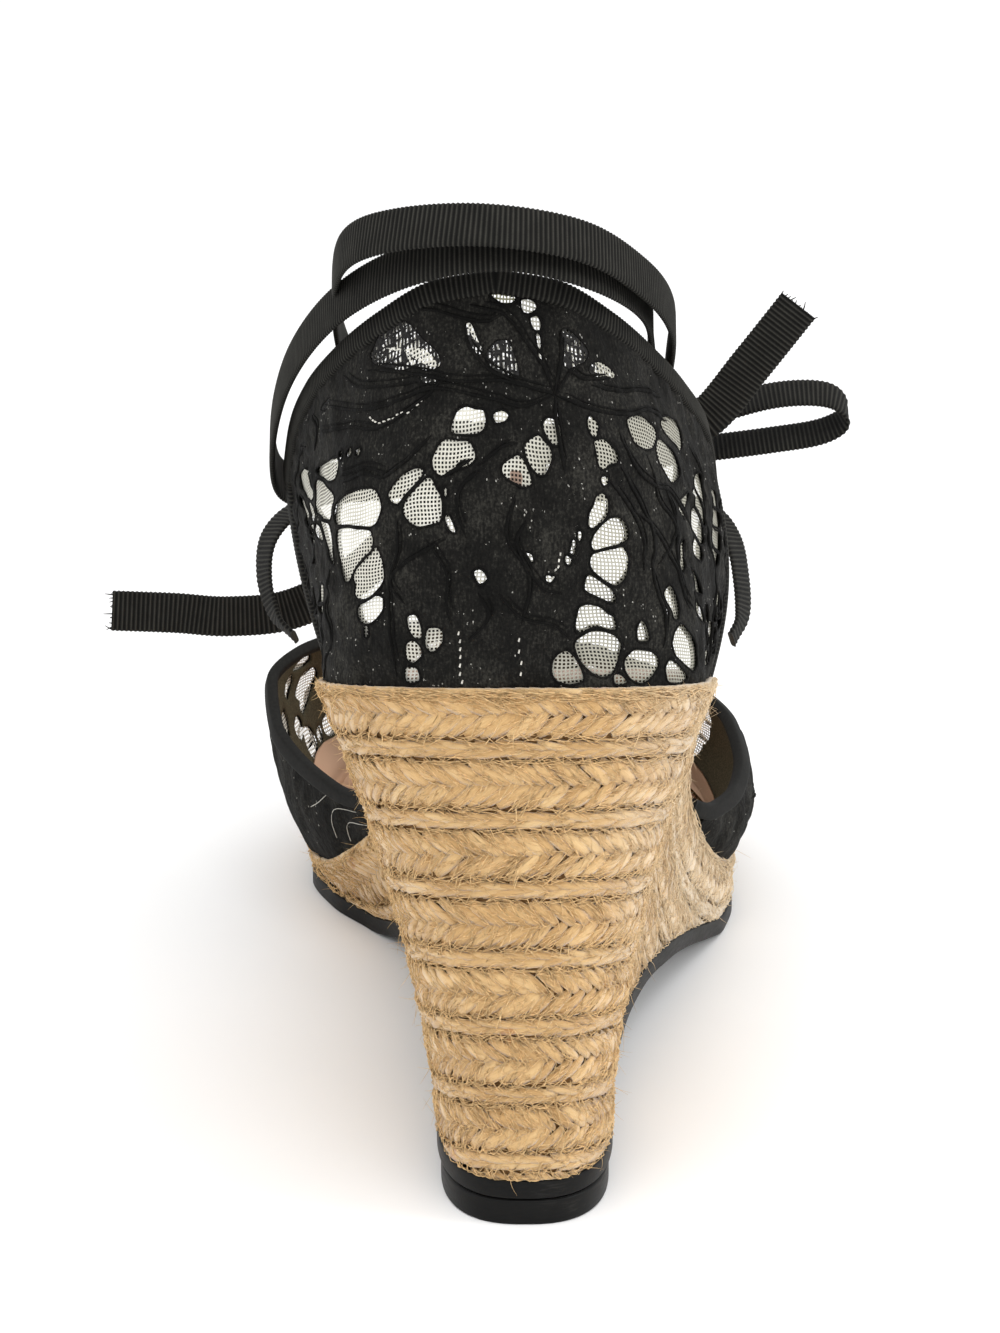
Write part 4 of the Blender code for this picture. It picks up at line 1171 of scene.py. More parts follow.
def chain(place, heading, turn, lengths, widths):
    # cells of a curved band in a row: each lies between two cross lines, its outer sides bulging
    place, cells = np.array(place, float), []
    for length, wide, after in zip(lengths, widths, widths[1:] + widths[-1:]):
        here, there = math.radians(heading), math.radians(heading + turn)
        end = place + length * np.array([math.cos(here), math.sin(here)])
        side, farSide = (np.array([-math.sin(a), math.cos(a)]) for a in (here, there))
        middle, bulge = (place + end) / 2, side * (wide + after) * drawingSettings["bulge"]
        side, farSide = side * wide / 2, farSide * after * drawingSettings["narrowing"]
        cells.append([place + side, middle + bulge, end + farSide,
                      end - farSide, middle - bulge, place - side])
        place, heading = end, heading + turn
    return cells


def flower(place, petals, inner, outer, wide, start):
    # petal cells round a middle: each is a drop from the inner to the outer radius
    drop = np.array([(0, -.18), (.35, -.42), (.75, -.5), (1, -.22),
                     (1, .22), (.75, .5), (.35, .42), (0, .18)])
    r, w = inner + drop[:, 0] * (outer - inner), drop[:, 1] * wide
    turns = np.radians(start + 360 * np.arange(petals) / petals)
    return [np.stack([place[0] + r * math.cos(turn) - w * math.sin(turn),
                      place[1] + r * math.sin(turn) + w * math.cos(turn)], axis=1) for turn in turns]


# back of the heel quarter: hundredths of the way from the back seam to a front edge, and of the height
counterCells = (
    # left of the seam: a stacked column, two tall cells beside it and slivers at the turn of the heel
    ((-39.8, 51), (-39.4, 54.6), (-37, 56), (-32.4, 56.6), (-28.2, 55.6), (-26.8, 53), (-26.1, 50),
     (-26.5, 46.6), (-28.6, 45.8), (-31.6, 46.9), (-35.4, 48), (-39.4, 48.8)),
    ((-39.2, 47.4), (-35.6, 47), (-32, 45.8), (-28.8, 44.8), (-27.2, 42.2), (-28.4, 39), (-30.7, 37),
     (-32.7, 35), (-33.8, 31.6), (-34.8, 31.6), (-35.8, 34.8), (-37.8, 39.4), (-39, 44)),
    ((-26.8, 40.1), (-26, 39.4), (-25.3, 36.2), (-24.6, 31.6), (-25.8, 28.8), (-27.3, 27), (-29.5, 26),
     (-31.4, 26.5), (-32.2, 28.1), (-31.8, 30.4), (-32.8, 32.6), (-32, 35), (-30.4, 36.6), (-28.2, 38.4)),
    ((-26.2, 26.9), (-24.9, 26), (-25, 22.9), (-26.3, 20.6), (-27.4, 19.3), (-29, 19.3), (-30.2, 20.8),
     (-30.8, 24.4), (-29, 25), (-27.6, 25.8)),
    ((-28.8, 18.6), (-28, 18.4), (-28, 15.2), (-28.5, 15.4)),
    ((-54, 66.6), (-50.5, 65), (-46.9, 62), (-41.9, 57.8), (-41.4, 55), (-42.4, 52.4), (-43.6, 51.2),
     (-47.7, 52.9), (-52, 55.4), (-55.8, 58.8), (-54.8, 61.6), (-55.2, 65)),
    ((-51, 53.4), (-47.4, 51.7), (-43.9, 49.8), (-42.4, 46.8), (-41, 43), (-39.4, 38.6), (-39, 37),
     (-40.6, 38.8), (-44.2, 43.6), (-47.8, 49)),
    ((-68, 76), (-64, 73.4), (-59.8, 70.2), (-57.4, 67), (-57.8, 62.4), (-61, 61.8), (-67, 65.6), (-73, 72),
     (-76, 76.6)),
    ((-65, 63), (-60, 60.2), (-55, 54.8), (-50.4, 49.8), (-47, 45.6), (-51, 47.2), (-57, 53.2),
     (-63, 59.4)),
    ((-76, 70), (-71, 66.6), (-65, 59.4), (-60, 53), (-58.4, 49.6), (-63, 52), (-69, 59), (-75, 66)),
    ((-52.6, 68.8), (-47.6, 69), (-40.3, 68), (-40.5, 65.6), (-41.4, 62.6), (-45, 62.8), (-49.4, 65.8)),
    ((-39.2, 69), (-38, 69), (-37.8, 66.8), (-38.8, 66.6)),
    ((-36.6, 67.6), (-35.2, 68.8), (-34.4, 67.4), (-35.8, 66.4)),
    ((-33.2, 67.4), (-32, 67.4), (-32.4, 65.9), (-33.4, 65.8)),
    # the pair left of the seam and the rounded cells above it
    ((-24.5, 53.1), (-23.3, 55), (-21.1, 57.1), (-18.4, 57.9), (-16.7, 57.3), (-16.8, 56), (-18.7, 54.2),
     (-20.9, 51.8), (-22.2, 50.2), (-23.5, 51)),
    ((-15.7, 55.2), (-14.8, 54.3), (-14.3, 52.6), (-13.2, 50.7), (-12.8, 48.8), (-12.8, 45.6),
     (-13.3, 44.2), (-14.8, 43.9), (-17.4, 43.4), (-19.4, 45), (-20.7, 47.2), (-20.9, 49.4), (-19.5, 51.6),
     (-17.6, 53.6)),
    ((-12.1, 45.6), (-11.4, 45.6), (-10.6, 43.2), (-10.1, 41.4), (-10.9, 41.6), (-11.6, 43.2)),
    ((-12.3, 52.3), (-11.8, 52), (-11.7, 50.2), (-12.2, 50.4)),
    ((-7.4, 70.6), (-5.7, 69.7), (-3.7, 69.4), (-3.3, 67), (-3.9, 65.2), (-5.3, 64.4), (-8.3, 64.6),
     (-10.6, 65.1), (-10.4, 67.4), (-9.4, 69.8)),
    ((-1.8, 68.4), (.2, 69), (1.6, 68.2), (.6, 66.8), (-1.2, 66.4)),
    ((-11.6, 63.6), (-9, 62.8), (-7, 62.7), (-6.1, 61), (-5.8, 58.8), (-7, 57.4), (-9.2, 56.8), (-11.7, 56),
     (-12.9, 55.2), (-14.4, 56.6), (-14.9, 59.2), (-13.9, 61.5), (-12.7, 63.2)),
    # middle, right of the seam
    ((-.1, 56.8), (1.3, 58), (3.2, 59.3), (4.3, 57.8), (4.9, 56), (5.4, 54.2), (5.6, 52.7), (4, 52),
     (2.3, 52.9), (.5, 53.8), (-.4, 55.2)),
    ((7.8, 64.2), (8.6, 62.8), (9.8, 61.6), (10.2, 59.8), (9.4, 57.4), (8.3, 55.2), (7.1, 55), (5.8, 56.7),
     (4.9, 58.8), (4.5, 61.4), (5.8, 62.9)),
    ((9.7, 68.2), (11.2, 68), (12.6, 66), (12.1, 63.8), (11.2, 62.2), (10.4, 62.4), (9.3, 64.4),
     (8.7, 66.5)),
    ((11.4, 71), (12, 70.6), (12.2, 68.6), (11.7, 69)),
    ((18.8, 69.4), (19.4, 70.8), (21.2, 69.2), (20.6, 67.6), (20.3, 66.2), (19.5, 65.9), (18.8, 67.4)),
    ((19.6, 64.6), (22, 66), (23.4, 65), (24.6, 63.2), (24, 61), (22.4, 60.3), (21.2, 58.5), (20.2, 58.6),
     (19.6, 61.6)),
    ((20.2, 56), (21.8, 57), (21.6, 55.2), (20.6, 54.2)),
    ((28.2, 73), (31.2, 75.2), (34.8, 76.2), (38.4, 74.8), (38, 72.4), (35.6, 68.6), (32.4, 67.4), (30, 68),
     (29.2, 70.4)),
    ((41.2, 77.8), (42.6, 79.8), (45.4, 81.2), (49.6, 82), (51.8, 80.6), (51.6, 77.8), (50.8, 74.8),
     (49.2, 73), (45.2, 74.9), (42, 75.6), (40.6, 76.6)),
    ((38.6, 72.2), (40.4, 72.6), (43.8, 71), (46, 68), (44.4, 64), (41.4, 61), (39, 62.6), (37.2, 65.4),
     (37, 68.6)),
    ((49, 61), (46.6, 58.6), (42.9, 56.2), (42.4, 53), (42.2, 51), (44, 52), (45.8, 55.4), (48, 58.2)),
    # the column right of the seam
    ((18.8, 51), (20.4, 52.4), (21.2, 51), (20.6, 47.8), (19.2, 45.2), (17.4, 43.1), (16.4, 43.3),
     (17.1, 46.8)),
    ((20.6, 46), (22.8, 47), (24.2, 45.4), (24.3, 42.4), (23.4, 40.7), (19.8, 38.8), (17, 37.4), (16.8, 39),
     (17.6, 41.4), (19.2, 43.8)),
    ((16.8, 36.3), (19.8, 37.7), (23.6, 39.6), (24.2, 36.4), (23.4, 32.9), (21.6, 30), (20.4, 28.9),
     (18.4, 30.2), (16.3, 32.5), (16, 34.4)),
    ((15.4, 31.4), (17.4, 29.7), (19.7, 27.7), (20.3, 25.6), (19.5, 24.2), (16.8, 25.8), (14.5, 27),
     (14.7, 29.4)),
    ((13.1, 22.8), (15, 23.1), (17.2, 22.8), (18.4, 21), (19.6, 20.4), (19.8, 17.2), (18.3, 17.2),
     (16.3, 18), (14.6, 17.5), (12.8, 16), (12.1, 17), (12.6, 19.8)),
    ((13.3, 15), (15, 16.4), (17.2, 16.4), (19.4, 15.4), (20.4, 13), (19.9, 11), (19.5, 8), (18.5, 5.2),
     (16.5, 3.8), (14.2, 5.4), (12.4, 8.8), (11.7, 12.2), (12.2, 14)),
    ((10.2, 11.1), (11.4, 9.4), (12.4, 6.2), (12.9, 3), (10, 2.2), (8, 2.6), (7.2, 5.2), (7.6, 8.4),
     (8.7, 10.4)),
    ((23, 11.6), (26.3, 11.2), (28, 9.4), (28.1, 7), (26.4, 4), (23.7, 2), (22, 2.9), (21, 5.7),
     (21.2, 9.2)),
    ((25.3, 20.2), (26.1, 17.8), (26.4, 14.3), (23.8, 14), (24.2, 17.4)),
    ((18.6, 4.4), (20, 4.2), (21.2, 2.2), (18.6, 1.8)),
    ((14.4, 42), (15, 41.6), (14.5, 39.4), (14, 40)),
    ((13, 40), (13.5, 39.4), (12.8, 36), (12.2, 36.6)),
    ((11.4, 35.8), (12.5, 34.8), (11.8, 33.2), (11.2, 34.2)),
    # slivers and rounded cells before the turn on the right
    ((35.2, 19.6), (37.4, 17), (39.4, 14.9), (40.8, 11.4), (40, 6.2), (37.8, 4.4), (35.2, 7.8), (32.6, 10),
     (31.8, 13.4), (32.8, 16.6)),
    ((30.8, 8.8), (33.6, 6.6), (35.8, 3), (33.6, 1.4), (29.4, 2), (29.6, 6)),
    ((56.6, 21.6), (63, 20.8), (69, 19.6), (72, 15.6), (69, 10.4), (63, 5.6), (58, 7), (55.4, 10.8),
     (54.2, 15.6)),
    ((33.4, 30.8), (34.7, 27.4), (35.3, 23.4), (34.4, 20.6), (33.1, 20.6), (32.9, 24), (31.6, 28)),
    ((31, 24.4), (31.8, 23.6), (31.7, 21.6), (31, 22.2)),
    ((41.4, 45.4), (41, 42), (39.9, 36.4), (38.6, 34.4), (37.4, 35.6), (38.8, 39), (40, 43)),
    ((43.2, 36.8), (46.6, 34.4), (48.6, 29), (46.4, 29.6), (44.2, 31.2), (43, 34)),
    ((42.6, 29.8), (45.2, 27.6), (47.4, 23.6), (49, 19.6), (46.6, 20.8), (43.8, 24.6)),
    # low on the left, high at the seam, and small eyes
    ((-19.6, 20.6), (-18, 21), (-17, 18.2), (-16.7, 14.8), (-18.2, 14.4), (-19.4, 16.8)),
    ((-19.8, 13.2), (-18.6, 13.7), (-17, 12.2), (-16.8, 9.8), (-18.4, 7.6), (-19.9, 9)),
    ((-20, 6.6), (-17.6, 6.4), (-17, 3), (-19.6, 2.4)),
    ((-15.4, 17.4), (-13.6, 17.3), (-12.7, 16.2), (-13, 13), (-14.6, 10.6), (-15.8, 12), (-16, 14.8)),
    ((-6.6, 31.8), (-5.2, 32.2), (-4, 29.8), (-5.6, 28), (-6.2, 29.6)),
    ((-2, 95.8), (.4, 96), (2.8, 95.6), (4.5, 94.4), (3.2, 93), (.4, 92.7)),
    ((5.5, 94), (8, 94.2), (9.4, 93), (7.6, 91.4), (5.7, 91.3)),
    ((7.3, 90), (9.2, 91), (9.9, 89.4), (9.4, 87.8), (8, 87.8)),
    ((8.5, 87), (9.5, 86.8), (9.4, 83.6), (8.8, 84.2)),
    ((9, 83), (9.6, 82.4), (9.3, 80.6), (8.8, 81.2)),
    ((3.6, 36.2), (4.8, 35.8), (4.9, 33.6), (3.8, 34.2)),
    ((7.4, 30.6), (8.8, 29.8), (8, 28.6), (7.2, 29.2)),
)
# half open leaves, filled with slotted mesh
counterLeaves = (
    ((-30.8, 91), (-27, 94.8), (-22.8, 94), (-20.4, 92.4), (-17.2, 87.2), (-13.8, 83.6), (-12.8, 80.8),
     (-15.6, 79.9), (-18.9, 82.2), (-22, 82.6), (-27.3, 86.2), (-29.6, 87.8)),
    ((-17.6, 79), (-15, 78.8), (-13.4, 76.8), (-16, 77)),
    ((-2.4, 82.2), (-.4, 84.2), (2.2, 84.6), (3, 82.4), (3.9, 79.4), (4.3, 77), (1.7, 77.2), (-.9, 78.2),
     (-2.9, 80.6)),
    ((14.8, 89.2), (17, 88.6), (18.8, 87.4), (20.5, 86), (19.2, 83), (17.4, 82.2), (16.2, 79), (15.4, 81.2),
     (14.5, 80.4), (14.2, 85.2)),
    ((21, 83), (23.6, 85), (25.6, 84.9), (27.8, 83.8), (25, 82), (21.8, 80.6), (20.4, 81.4)),
    ((-7.4, 88.8), (-6.2, 89), (-4.8, 85), (-3.4, 82.4), (-4.6, 82), (-6.2, 84.6)),
    ((-50.4, 86), (-46.6, 87), (-44.6, 86), (-48, 84.2)),
)
# raised cords, from the fan's root outwards and across the ground
counterVeins = (
    ((11.7, 73.7), (2, 75.6), (-9.6, 76.6), (-18.4, 80), (-26.6, 84.6), (-31, 86.6)),
    ((11.7, 73.7), (-.2, 77), (-6, 83), (-7.4, 86.8)),
    ((11.7, 73.7), (4.4, 70.4), (-2.4, 72), (-14, 75.6), (-23, 75.4), (-33.6, 77.8), (-48, 86)),
    ((11.7, 73.7), (11.4, 68.6), (11.8, 64.6), (12.6, 55.6)),
    ((11.7, 73.7), (18.8, 72.4), (28.2, 74.4), (36.4, 79), (44, 79.4)),
    ((11.7, 73.7), (15.8, 79.6), (18.9, 79), (26, 82.6)),
    ((11.7, 73.7), (13.6, 82), (14.4, 88.6)),
    ((11.7, 73.7), (9.8, 79.8), (6.6, 84), (2.4, 89.6), (-6.2, 93)),
    ((-6.6, 58.6), (-12.4, 55)),
    ((24.6, 60), (29, 52), (30.6, 42), (29, 32), (31, 22), (29.6, 12)),
    ((-24, 58), (-31, 62), (-40, 62.4)),
    ((-40.6, 36), (-43, 26), (-41, 14), (-45, 2)),
    ((-12, 40), (-22, 33), (-23.6, 24), (-21.6, 4)),
    ((2, 50), (0, 40), (4, 30), (2, 18)),
    ((33, 66), (34, 56), (38, 47), (37, 34), (40, 24)),
    ((56, 78), (62, 66), (60, 50), (66, 36), (62, 18), (66, 2)),
    ((-62, 80), (-70, 82), (-80, 76), (-90, 62)),
    ((-52, 80), (-44, 77), (-36, 74.5), (-28, 71), (-18, 73), (-12, 78)),
    ((-38, 60), (-31, 60.5), (-26, 58), (-20, 60.5), (-15, 65)),
    ((-5.4, 57), (0, 61), (3, 62)),
    ((-5, 56), (-9, 52), (-9.5, 46), (-8, 40)),
    ((26, 70), (28, 62), (33, 58), (40, 58), (48, 50)),
    ((22, 56), (26, 50), (28, 42), (27, 34)),
    ((26.5, 50), (33, 44), (36, 36), (37, 31), (42, 24)),
    ((38, 58), (38.4, 50), (36, 42), (31, 36)),
    ((-22, 46), (-22, 38), (-23, 30), (-20, 24)),
    ((-16, 40), (-12, 32), (-12, 24), (-11, 18)),
    ((4, 44), (2, 38), (6, 28), (10, 26)),
    ((-2, 26), (2, 20), (8, 18), (11, 14)),
    ((-8, 14), (-4, 20), (-6, 26)),
    ((20, 78), (28, 80), (36, 84), (44, 86)),
    ((-22, 96), (-14, 93), (-8, 90.4), (-2, 89), (2, 91)),
    ((-40, 90), (-34, 84), (-26, 80.4), (-18, 78)),
    ((-58, 88), (-54, 82), (-56, 76)),
)
# inner wing of the toe piece, where its inside shows: hundredths of its half length and of its height
wingCells = (
    ((-40.2, 90), (-38.8, 78), (-41, 75.5), (-45.1, 79.5), (-44.2, 83.5), (-42.3, 87)),
    ((-45.4, 78), (-44.4, 71), (-46, 65), (-47.2, 60.5), (-48.4, 66), (-47.6, 75)),
    ((-37, 68.5), (-35.7, 59), (-37, 55.5), (-38.2, 50), (-39.8, 45), (-41.9, 41.5), (-42.9, 47),
     (-42.2, 51.5), (-44, 57), (-42.8, 63), (-41.3, 68), (-39.3, 70)),
    ((-44, 44.5), (-43, 38.6), (-44.4, 32.5), (-45.6, 30.5), (-46.8, 36.5), (-47.1, 41.5), (-45.6, 45)),
    ((-43.4, 36), (-40.4, 31.6), (-39.8, 22.5), (-40.2, 18.5), (-43.2, 16.5), (-44.1, 22.5), (-44.3, 29.5)),
    ((-38.8, 27.6), (-37.2, 27.8), (-37.2, 21), (-38.4, 19), (-39.2, 23.4)),
    ((-34.7, 30), (-33.2, 28.4), (-32.7, 23.8), (-31.8, 19), (-33.3, 17.6), (-35.4, 19.2), (-36.4, 23),
     (-36.4, 28)),
    ((-49.8, 60), (-48.8, 50), (-50, 40), (-52, 46), (-52.2, 56)),
)
# the rest in the same hand: chains by place, heading, turn, lengths and widths of their cells, and flowers
# by place, number of petals, inner and outer radius, width and heading of the first petal
counterForward = (
    (chain, (48, 30), 68, -6, (5.5, 6, 6.5, 6), (4.6, 6.4, 7.4, 6.2)),
    (chain, (54, 4), 96, 5, (5, 5.5, 5), (6.5, 7.4, 5.2)),
    (flower, (70, 16), 7, 2.0, 8.6, 5.4, 12),
    (chain, (64, 31), 58, 9, (5, 6, 6, 5), (3.6, 5.4, 6.6, 5.2)),
    (chain, (84, 22), 80, 4, (5, 6, 6), (4.6, 6.0, 5.0)),
    (flower, (82, 46), 5, 1.6, 6.2, 4.6, 40),
    (flower, (-70, 17), 7, 2.0, 8.8, 5.6, 30),
    (chain, (-48, 4), 98, -4, (5, 5.5, 5, 4.6), (5.4, 6.8, 6.4, 4.4)),
    (chain, (-58, 30), 84, 7, (4.6, 5), (4.4, 4.8)),
    (chain, (-86, 12), 100, -5, (5, 6, 6, 6, 5), (4.4, 6, 6.8, 6, 4.6)),
)
vampFlowers = (
    (flower, (2, 30), 7, 2.6, 10.5, 6.6, 8),
    (flower, (-28, 18), 6, 2.2, 8.4, 5.8, 25),
    (flower, (37, 19), 6, 2.2, 8.6, 5.8, 5),
)
vampChains = (
    (chain, (-20, 5), 55, 12, (5, 5.5, 5.5, 5), (4.4, 6, 6.4, 4.6)),
    (chain, (22, 6), 118, -10, (5, 5.5, 5.5), (4.4, 6, 5)),
    (chain, (-13, 44), -20, 14, (5, 5.5, 5.5, 5), (3.6, 4.8, 5, 3.6)),
    (chain, (49, 5), 70, 8, (5, 5.5, 5, 4.4), (4, 5.6, 5.6, 4)),
)
# raised cords of the toe piece, on its board in mm
vampVeins = (
    ((-60, 20), (-50, 25), (-44, 30)), ((-46, 12), (-56, 8), (-66, 12), (-74, 20)),
    ((12, 30), (22, 36), (30, 34)), ((-8, 30), (-18, 36), (-26, 33)), ((2, 18), (0, 8), (3, 1)),
    ((47, 20), (56, 25), (62, 25)), ((78, 14), (86, 12), (96, 12)), ((10, 14), (20, 18), (28, 14)),
    ((52, 1), (60, 4), (66, 3)), ((-28, 8), (-34, 4), (-40, 5), (-48, 1)),
)


def allDrawn(rows):
    # the cells of every chain and flower in a table
    return [cell for draw, *words in rows for cell in draw(*words)]


def counterDrawing():
    # the charted back and, forward of it, chains and flowers in the same hand
    cells, leaves, veins = ([onBoard(boards["counter"], charted) for charted in table]
                            for table in (counterCells, counterLeaves, counterVeins))
    return cells + allDrawn(counterForward), leaves, veins


def vampDrawing():
    # flowers over the toe, chains of cells down both wings
    wing = [onBoard(boards["vamp"], charted) for charted in wingCells]
    return allDrawn(vampFlowers) + wing + allDrawn(vampChains), [], vampVeins


def insidePolygon(points, corners):
    # even-odd rule: how often a ray to the right of each point crosses the closed line
    x, y = points[:, :1], points[:, 1:]
    x0, y0 = corners[None, :, 0], corners[None, :, 1]
    x1, y1 = np.roll(x0, -1, axis=1), np.roll(y0, -1, axis=1)
    crosses = ((y0 > y) != (y1 > y)) & (x < (x1 - x0) * (y - y0) / np.where(y1 == y0, 1e-9, y1 - y0) + x0)
    return crosses.sum(axis=1) % 2 == 1


def insideAny(points, lines):
    out = np.zeros(len(points), bool)
    for line in lines:
        low, high = line.min(axis=0), line.max(axis=0)
        near = np.nonzero(((points >= low) & (points <= high)).all(axis=1))[0]
        if len(near):
            out[near] |= insidePolygon(points[near], line)
    return out


laceSettings = dict(
    face=0.52, thick=0.30,                # black lace, from the wall's middle surface outwards
    liningFace=-0.25, liningThick=0.35,   # backing cloth inside it
    netLift=0.12, netPitch=0.74, netThread=0.31, netMargin=0.8,   # cream net between them
    netWobble=0.16, netWaves=((0.2, 0.7), (0.9, -0.3)),           # how far and how fast its threads wander
    mesh=1.25, edgeStep=1.2, cellStep=0.60, sheerStep=0.62, veinStep=0.6,
    rimWide=0.22, rimHigh=0.22, leafRim=0.55, veinWide=0.34, veinHigh=0.32,
    twinAside=(0.7, 0.9), twinSize=0.6,   # the finer thread beside each vein
    rimSink=0.06, veinRise=0.02, sheerSink=0.1,
    crinkle=0.36, crinkleWaves=14, crinkleSpeed=0.55,   # how far and how fast the cloth wanders in and out
    edgeShare=(0.992, 0.975),             # the part of the board within which a hole may lie
)


def boardOutline(board):
    s = np.linspace(-board["end"], board["end"], 150)
    top = belowRim(board["surface"], s, board["underTape"], False) * boardHeight(board, s)
    foot = np.full_like(s, -1.0)
    return np.concatenate([np.stack([s * board["half"], foot], axis=1),
                           np.stack([s * board["half"], top], axis=1)[::-1]])


def shrunkEdge(edge):
    # the board's outline drawn in a little, so that no hole runs out through the cloth's edge
    middle = np.array([0.0, edge[:, 1].mean()])
    return middle + (edge - middle) * laceSettings["edgeShare"]


def cutCloth(board, holes):
    # triangles of the board with the holes left out: points and corner numbers
    spacing = laceSettings["mesh"]
    rowStep = spacing * 0.866
    edge = closedLine(boardOutline(board), laceSettings["edgeStep"])
    low, high = edge.min(axis=0), edge.max(axis=0)
    along, up = np.arange(low[0], high[0], spacing), np.arange(low[1], high[1], rowStep)
    i, j = np.meshgrid(along, up, indexing="ij")
    shift = (np.round((j - low[1]) / rowStep) % 2) * spacing / 2
    fill = np.stack([(i + shift).ravel(), j.ravel()], axis=1)
    lines = [edge] + holes
    rim = np.concatenate(lines)
    near = np.concatenate([np.sqrt(((few[:, None] - rim[None]) ** 2).sum(-1).min(1))
                           for few in np.array_split(fill, 40)])
    fill = fill[(near > 0.5 * spacing) & insidePolygon(fill, edge)]
    starts = np.cumsum([0] + [len(line) for line in lines]).tolist()
    edges = [(start + k, start + (k + 1) % len(line)) for start, line in zip(starts, lines)
             for k in range(len(line))]
    out = delaunay_2d_cdt([Vector(p) for p in np.concatenate([rim, fill]).tolist()], edges, [], 0, 1e-4)
    points = np.array([p[:] for p in out[0]])
    faces = np.array([f[:] for f in out[2]])
    middle = points[faces].mean(axis=1)
    return points, faces[insidePolygon(middle, edge) & ~insideAny(middle, holes)]


crinkleWaves = chance.normal(0, 1, (laceSettings["crinkleWaves"], 2)) * laceSettings["crinkleSpeed"]
crinklePhase = chance.uniform(0, 2 * math.pi, laceSettings["crinkleWaves"])


def crinkle(flat):
    # sum of slow waves over the board: how far the cloth stands in or out there
    waves = np.sin(flat @ crinkleWaves.T + crinklePhase).sum(axis=-1)
    return (laceSettings["crinkle"] * np.tanh(waves / math.sqrt(len(crinklePhase) / 2)))[..., None]


def clothPiece(name, board, points, faces, outside, thick, material, stands=()):
    # the flat cloth put on the shoe as a sheet of real thickness, closed along every cut edge
    used, faces = np.unique(faces, return_inverse=True)
    points, faces, count = points[used], faces.reshape(-1, 3), len(used)
    front, normal = offBoard(board, points, outside + crinkle(points) * (outside > 0))
    first, second, third = (front[faces[:, k]] for k in range(3))
    facing = np.sum(np.cross(second - first, third - first) * normal[faces[:, 0]], axis=1)
    faces = np.where((facing > 0)[:, None], faces, faces[:, ::-1])
    sides = np.concatenate([faces[:, [0, 1]], faces[:, [1, 2]], faces[:, [2, 0]]])
    free = sides[~np.isin(sides @ (count, 1), sides @ (1, count))]
    groups = [faces, faces[:, ::-1] + count, np.concatenate([free[:, ::-1], free + count], axis=1)]
    buildPiece(name, np.concatenate([front, front - normal * thick]), groups, material,
               stands, np.tile(points, (2, 1)))


def netPiece(name, board, holes, material):
    # square net behind the open cells: between each pair of threads the square is left out
    s = laceSettings
    pitch, margin = s["netPitch"], s["netMargin"]
    edge = boardOutline(board)
    x, y = (np.add.outer(np.arange(low - pitch, high + pitch, pitch), (0, s["netThread"])).ravel()
            for low, high in zip(edge.min(axis=0), edge.max(axis=0)))
    i, j = (n.ravel() for n in np.meshgrid(np.arange(len(x) - 1), np.arange(len(y) - 1), indexing="ij"))
    middle = np.stack([(x[i] + x[i + 1]) / 2, (y[j] + y[j + 1]) / 2], axis=1)
    kept = np.any([insideAny(middle + np.array(shift) * margin, holes)
                   for shift in ((0, 0), (1, 0), (-1, 0), (0, 1), (0, -1))], axis=0)
    kept &= ((i % 2 == 0) | (j % 2 == 0)) & insidePolygon(middle, edge)
    rows = len(y)
    used, faces = np.unique((i * rows + j)[kept][:, None] + (0, rows, rows + 1, 1), return_inverse=True)
    flat = np.stack([x[used // rows], y[used % rows]], axis=1)
    place = offBoard(board, flat + s["netWobble"] * np.sin(flat @ s["netWaves"]), s["netLift"])[0]
    faces = faces.reshape(-1, 4)[:, ::board["sign"]]
    buildPiece(name, place, [faces], material, (), flat)


def cordPiece(name, board, runs, around=5):
    # raised threads: each run is (points on the board, closed, half width, half height, lift)
    turn = np.linspace(0, 2 * math.pi, around, endpoint=False)
    points, groups, uvs, start = [], [], [], 0
    for flat, closed, wide, high, lift in runs:
        place, normal = offBoard(board, flat, lift + crinkle(flat))
        rings = len(flat)
        if closed:
            along, taper = unit(np.roll(place, -1, axis=0) - np.roll(place, 1, axis=0)), np.ones(rings)
        else:
            t = np.linspace(0, 1, rings)
            along, taper = unit(np.gradient(place, axis=0)), np.minimum(1, 0.3 + 6 * np.minimum(t, 1 - t))
        side, up = np.cross(along, normal) * (wide * taper)[:, None], normal * (high * taper)[:, None]
        ring = side[:, None] * np.cos(turn)[:, None] + up[:, None] * np.sin(turn)[:, None]
        points.append((place[:, None] + ring).reshape(-1, 3))
        groups.append(gridFaces(rings, around, closed, start))
        if not closed:
            cap = start + np.arange(around)[None]
            groups.append(np.concatenate([cap, (cap + (rings - 1) * around)[:, ::-1]]))
        run = np.arange(rings) * laceSettings["cellStep"]
        uvs.append(np.stack([np.repeat(run, around), np.tile(turn, rings)], axis=1))
        start += rings * around
    buildPiece(name, np.concatenate(points), groups, finishes["cord"], (),
               np.concatenate(uvs))


def leafCloth(lines):
    # fans of triangles from each leaf's middle
    points, faces, start = [], [], 0
    for line in lines:
        ring, size = np.arange(len(line)), len(line)
        points += [line, line.mean(axis=0)[None]]
        faces.append(start + np.stack([ring, (ring + 1) % size, np.full(size, size)], axis=1))
        start += size + 1
    points, faces = np.concatenate(points), np.concatenate(faces)
    first, second, third = (points[faces[:, k]] for k in range(3))
    turned = np.cross(second - first, third - first) < 0
    return points, np.where(turned[:, None], faces[:, ::-1], faces)


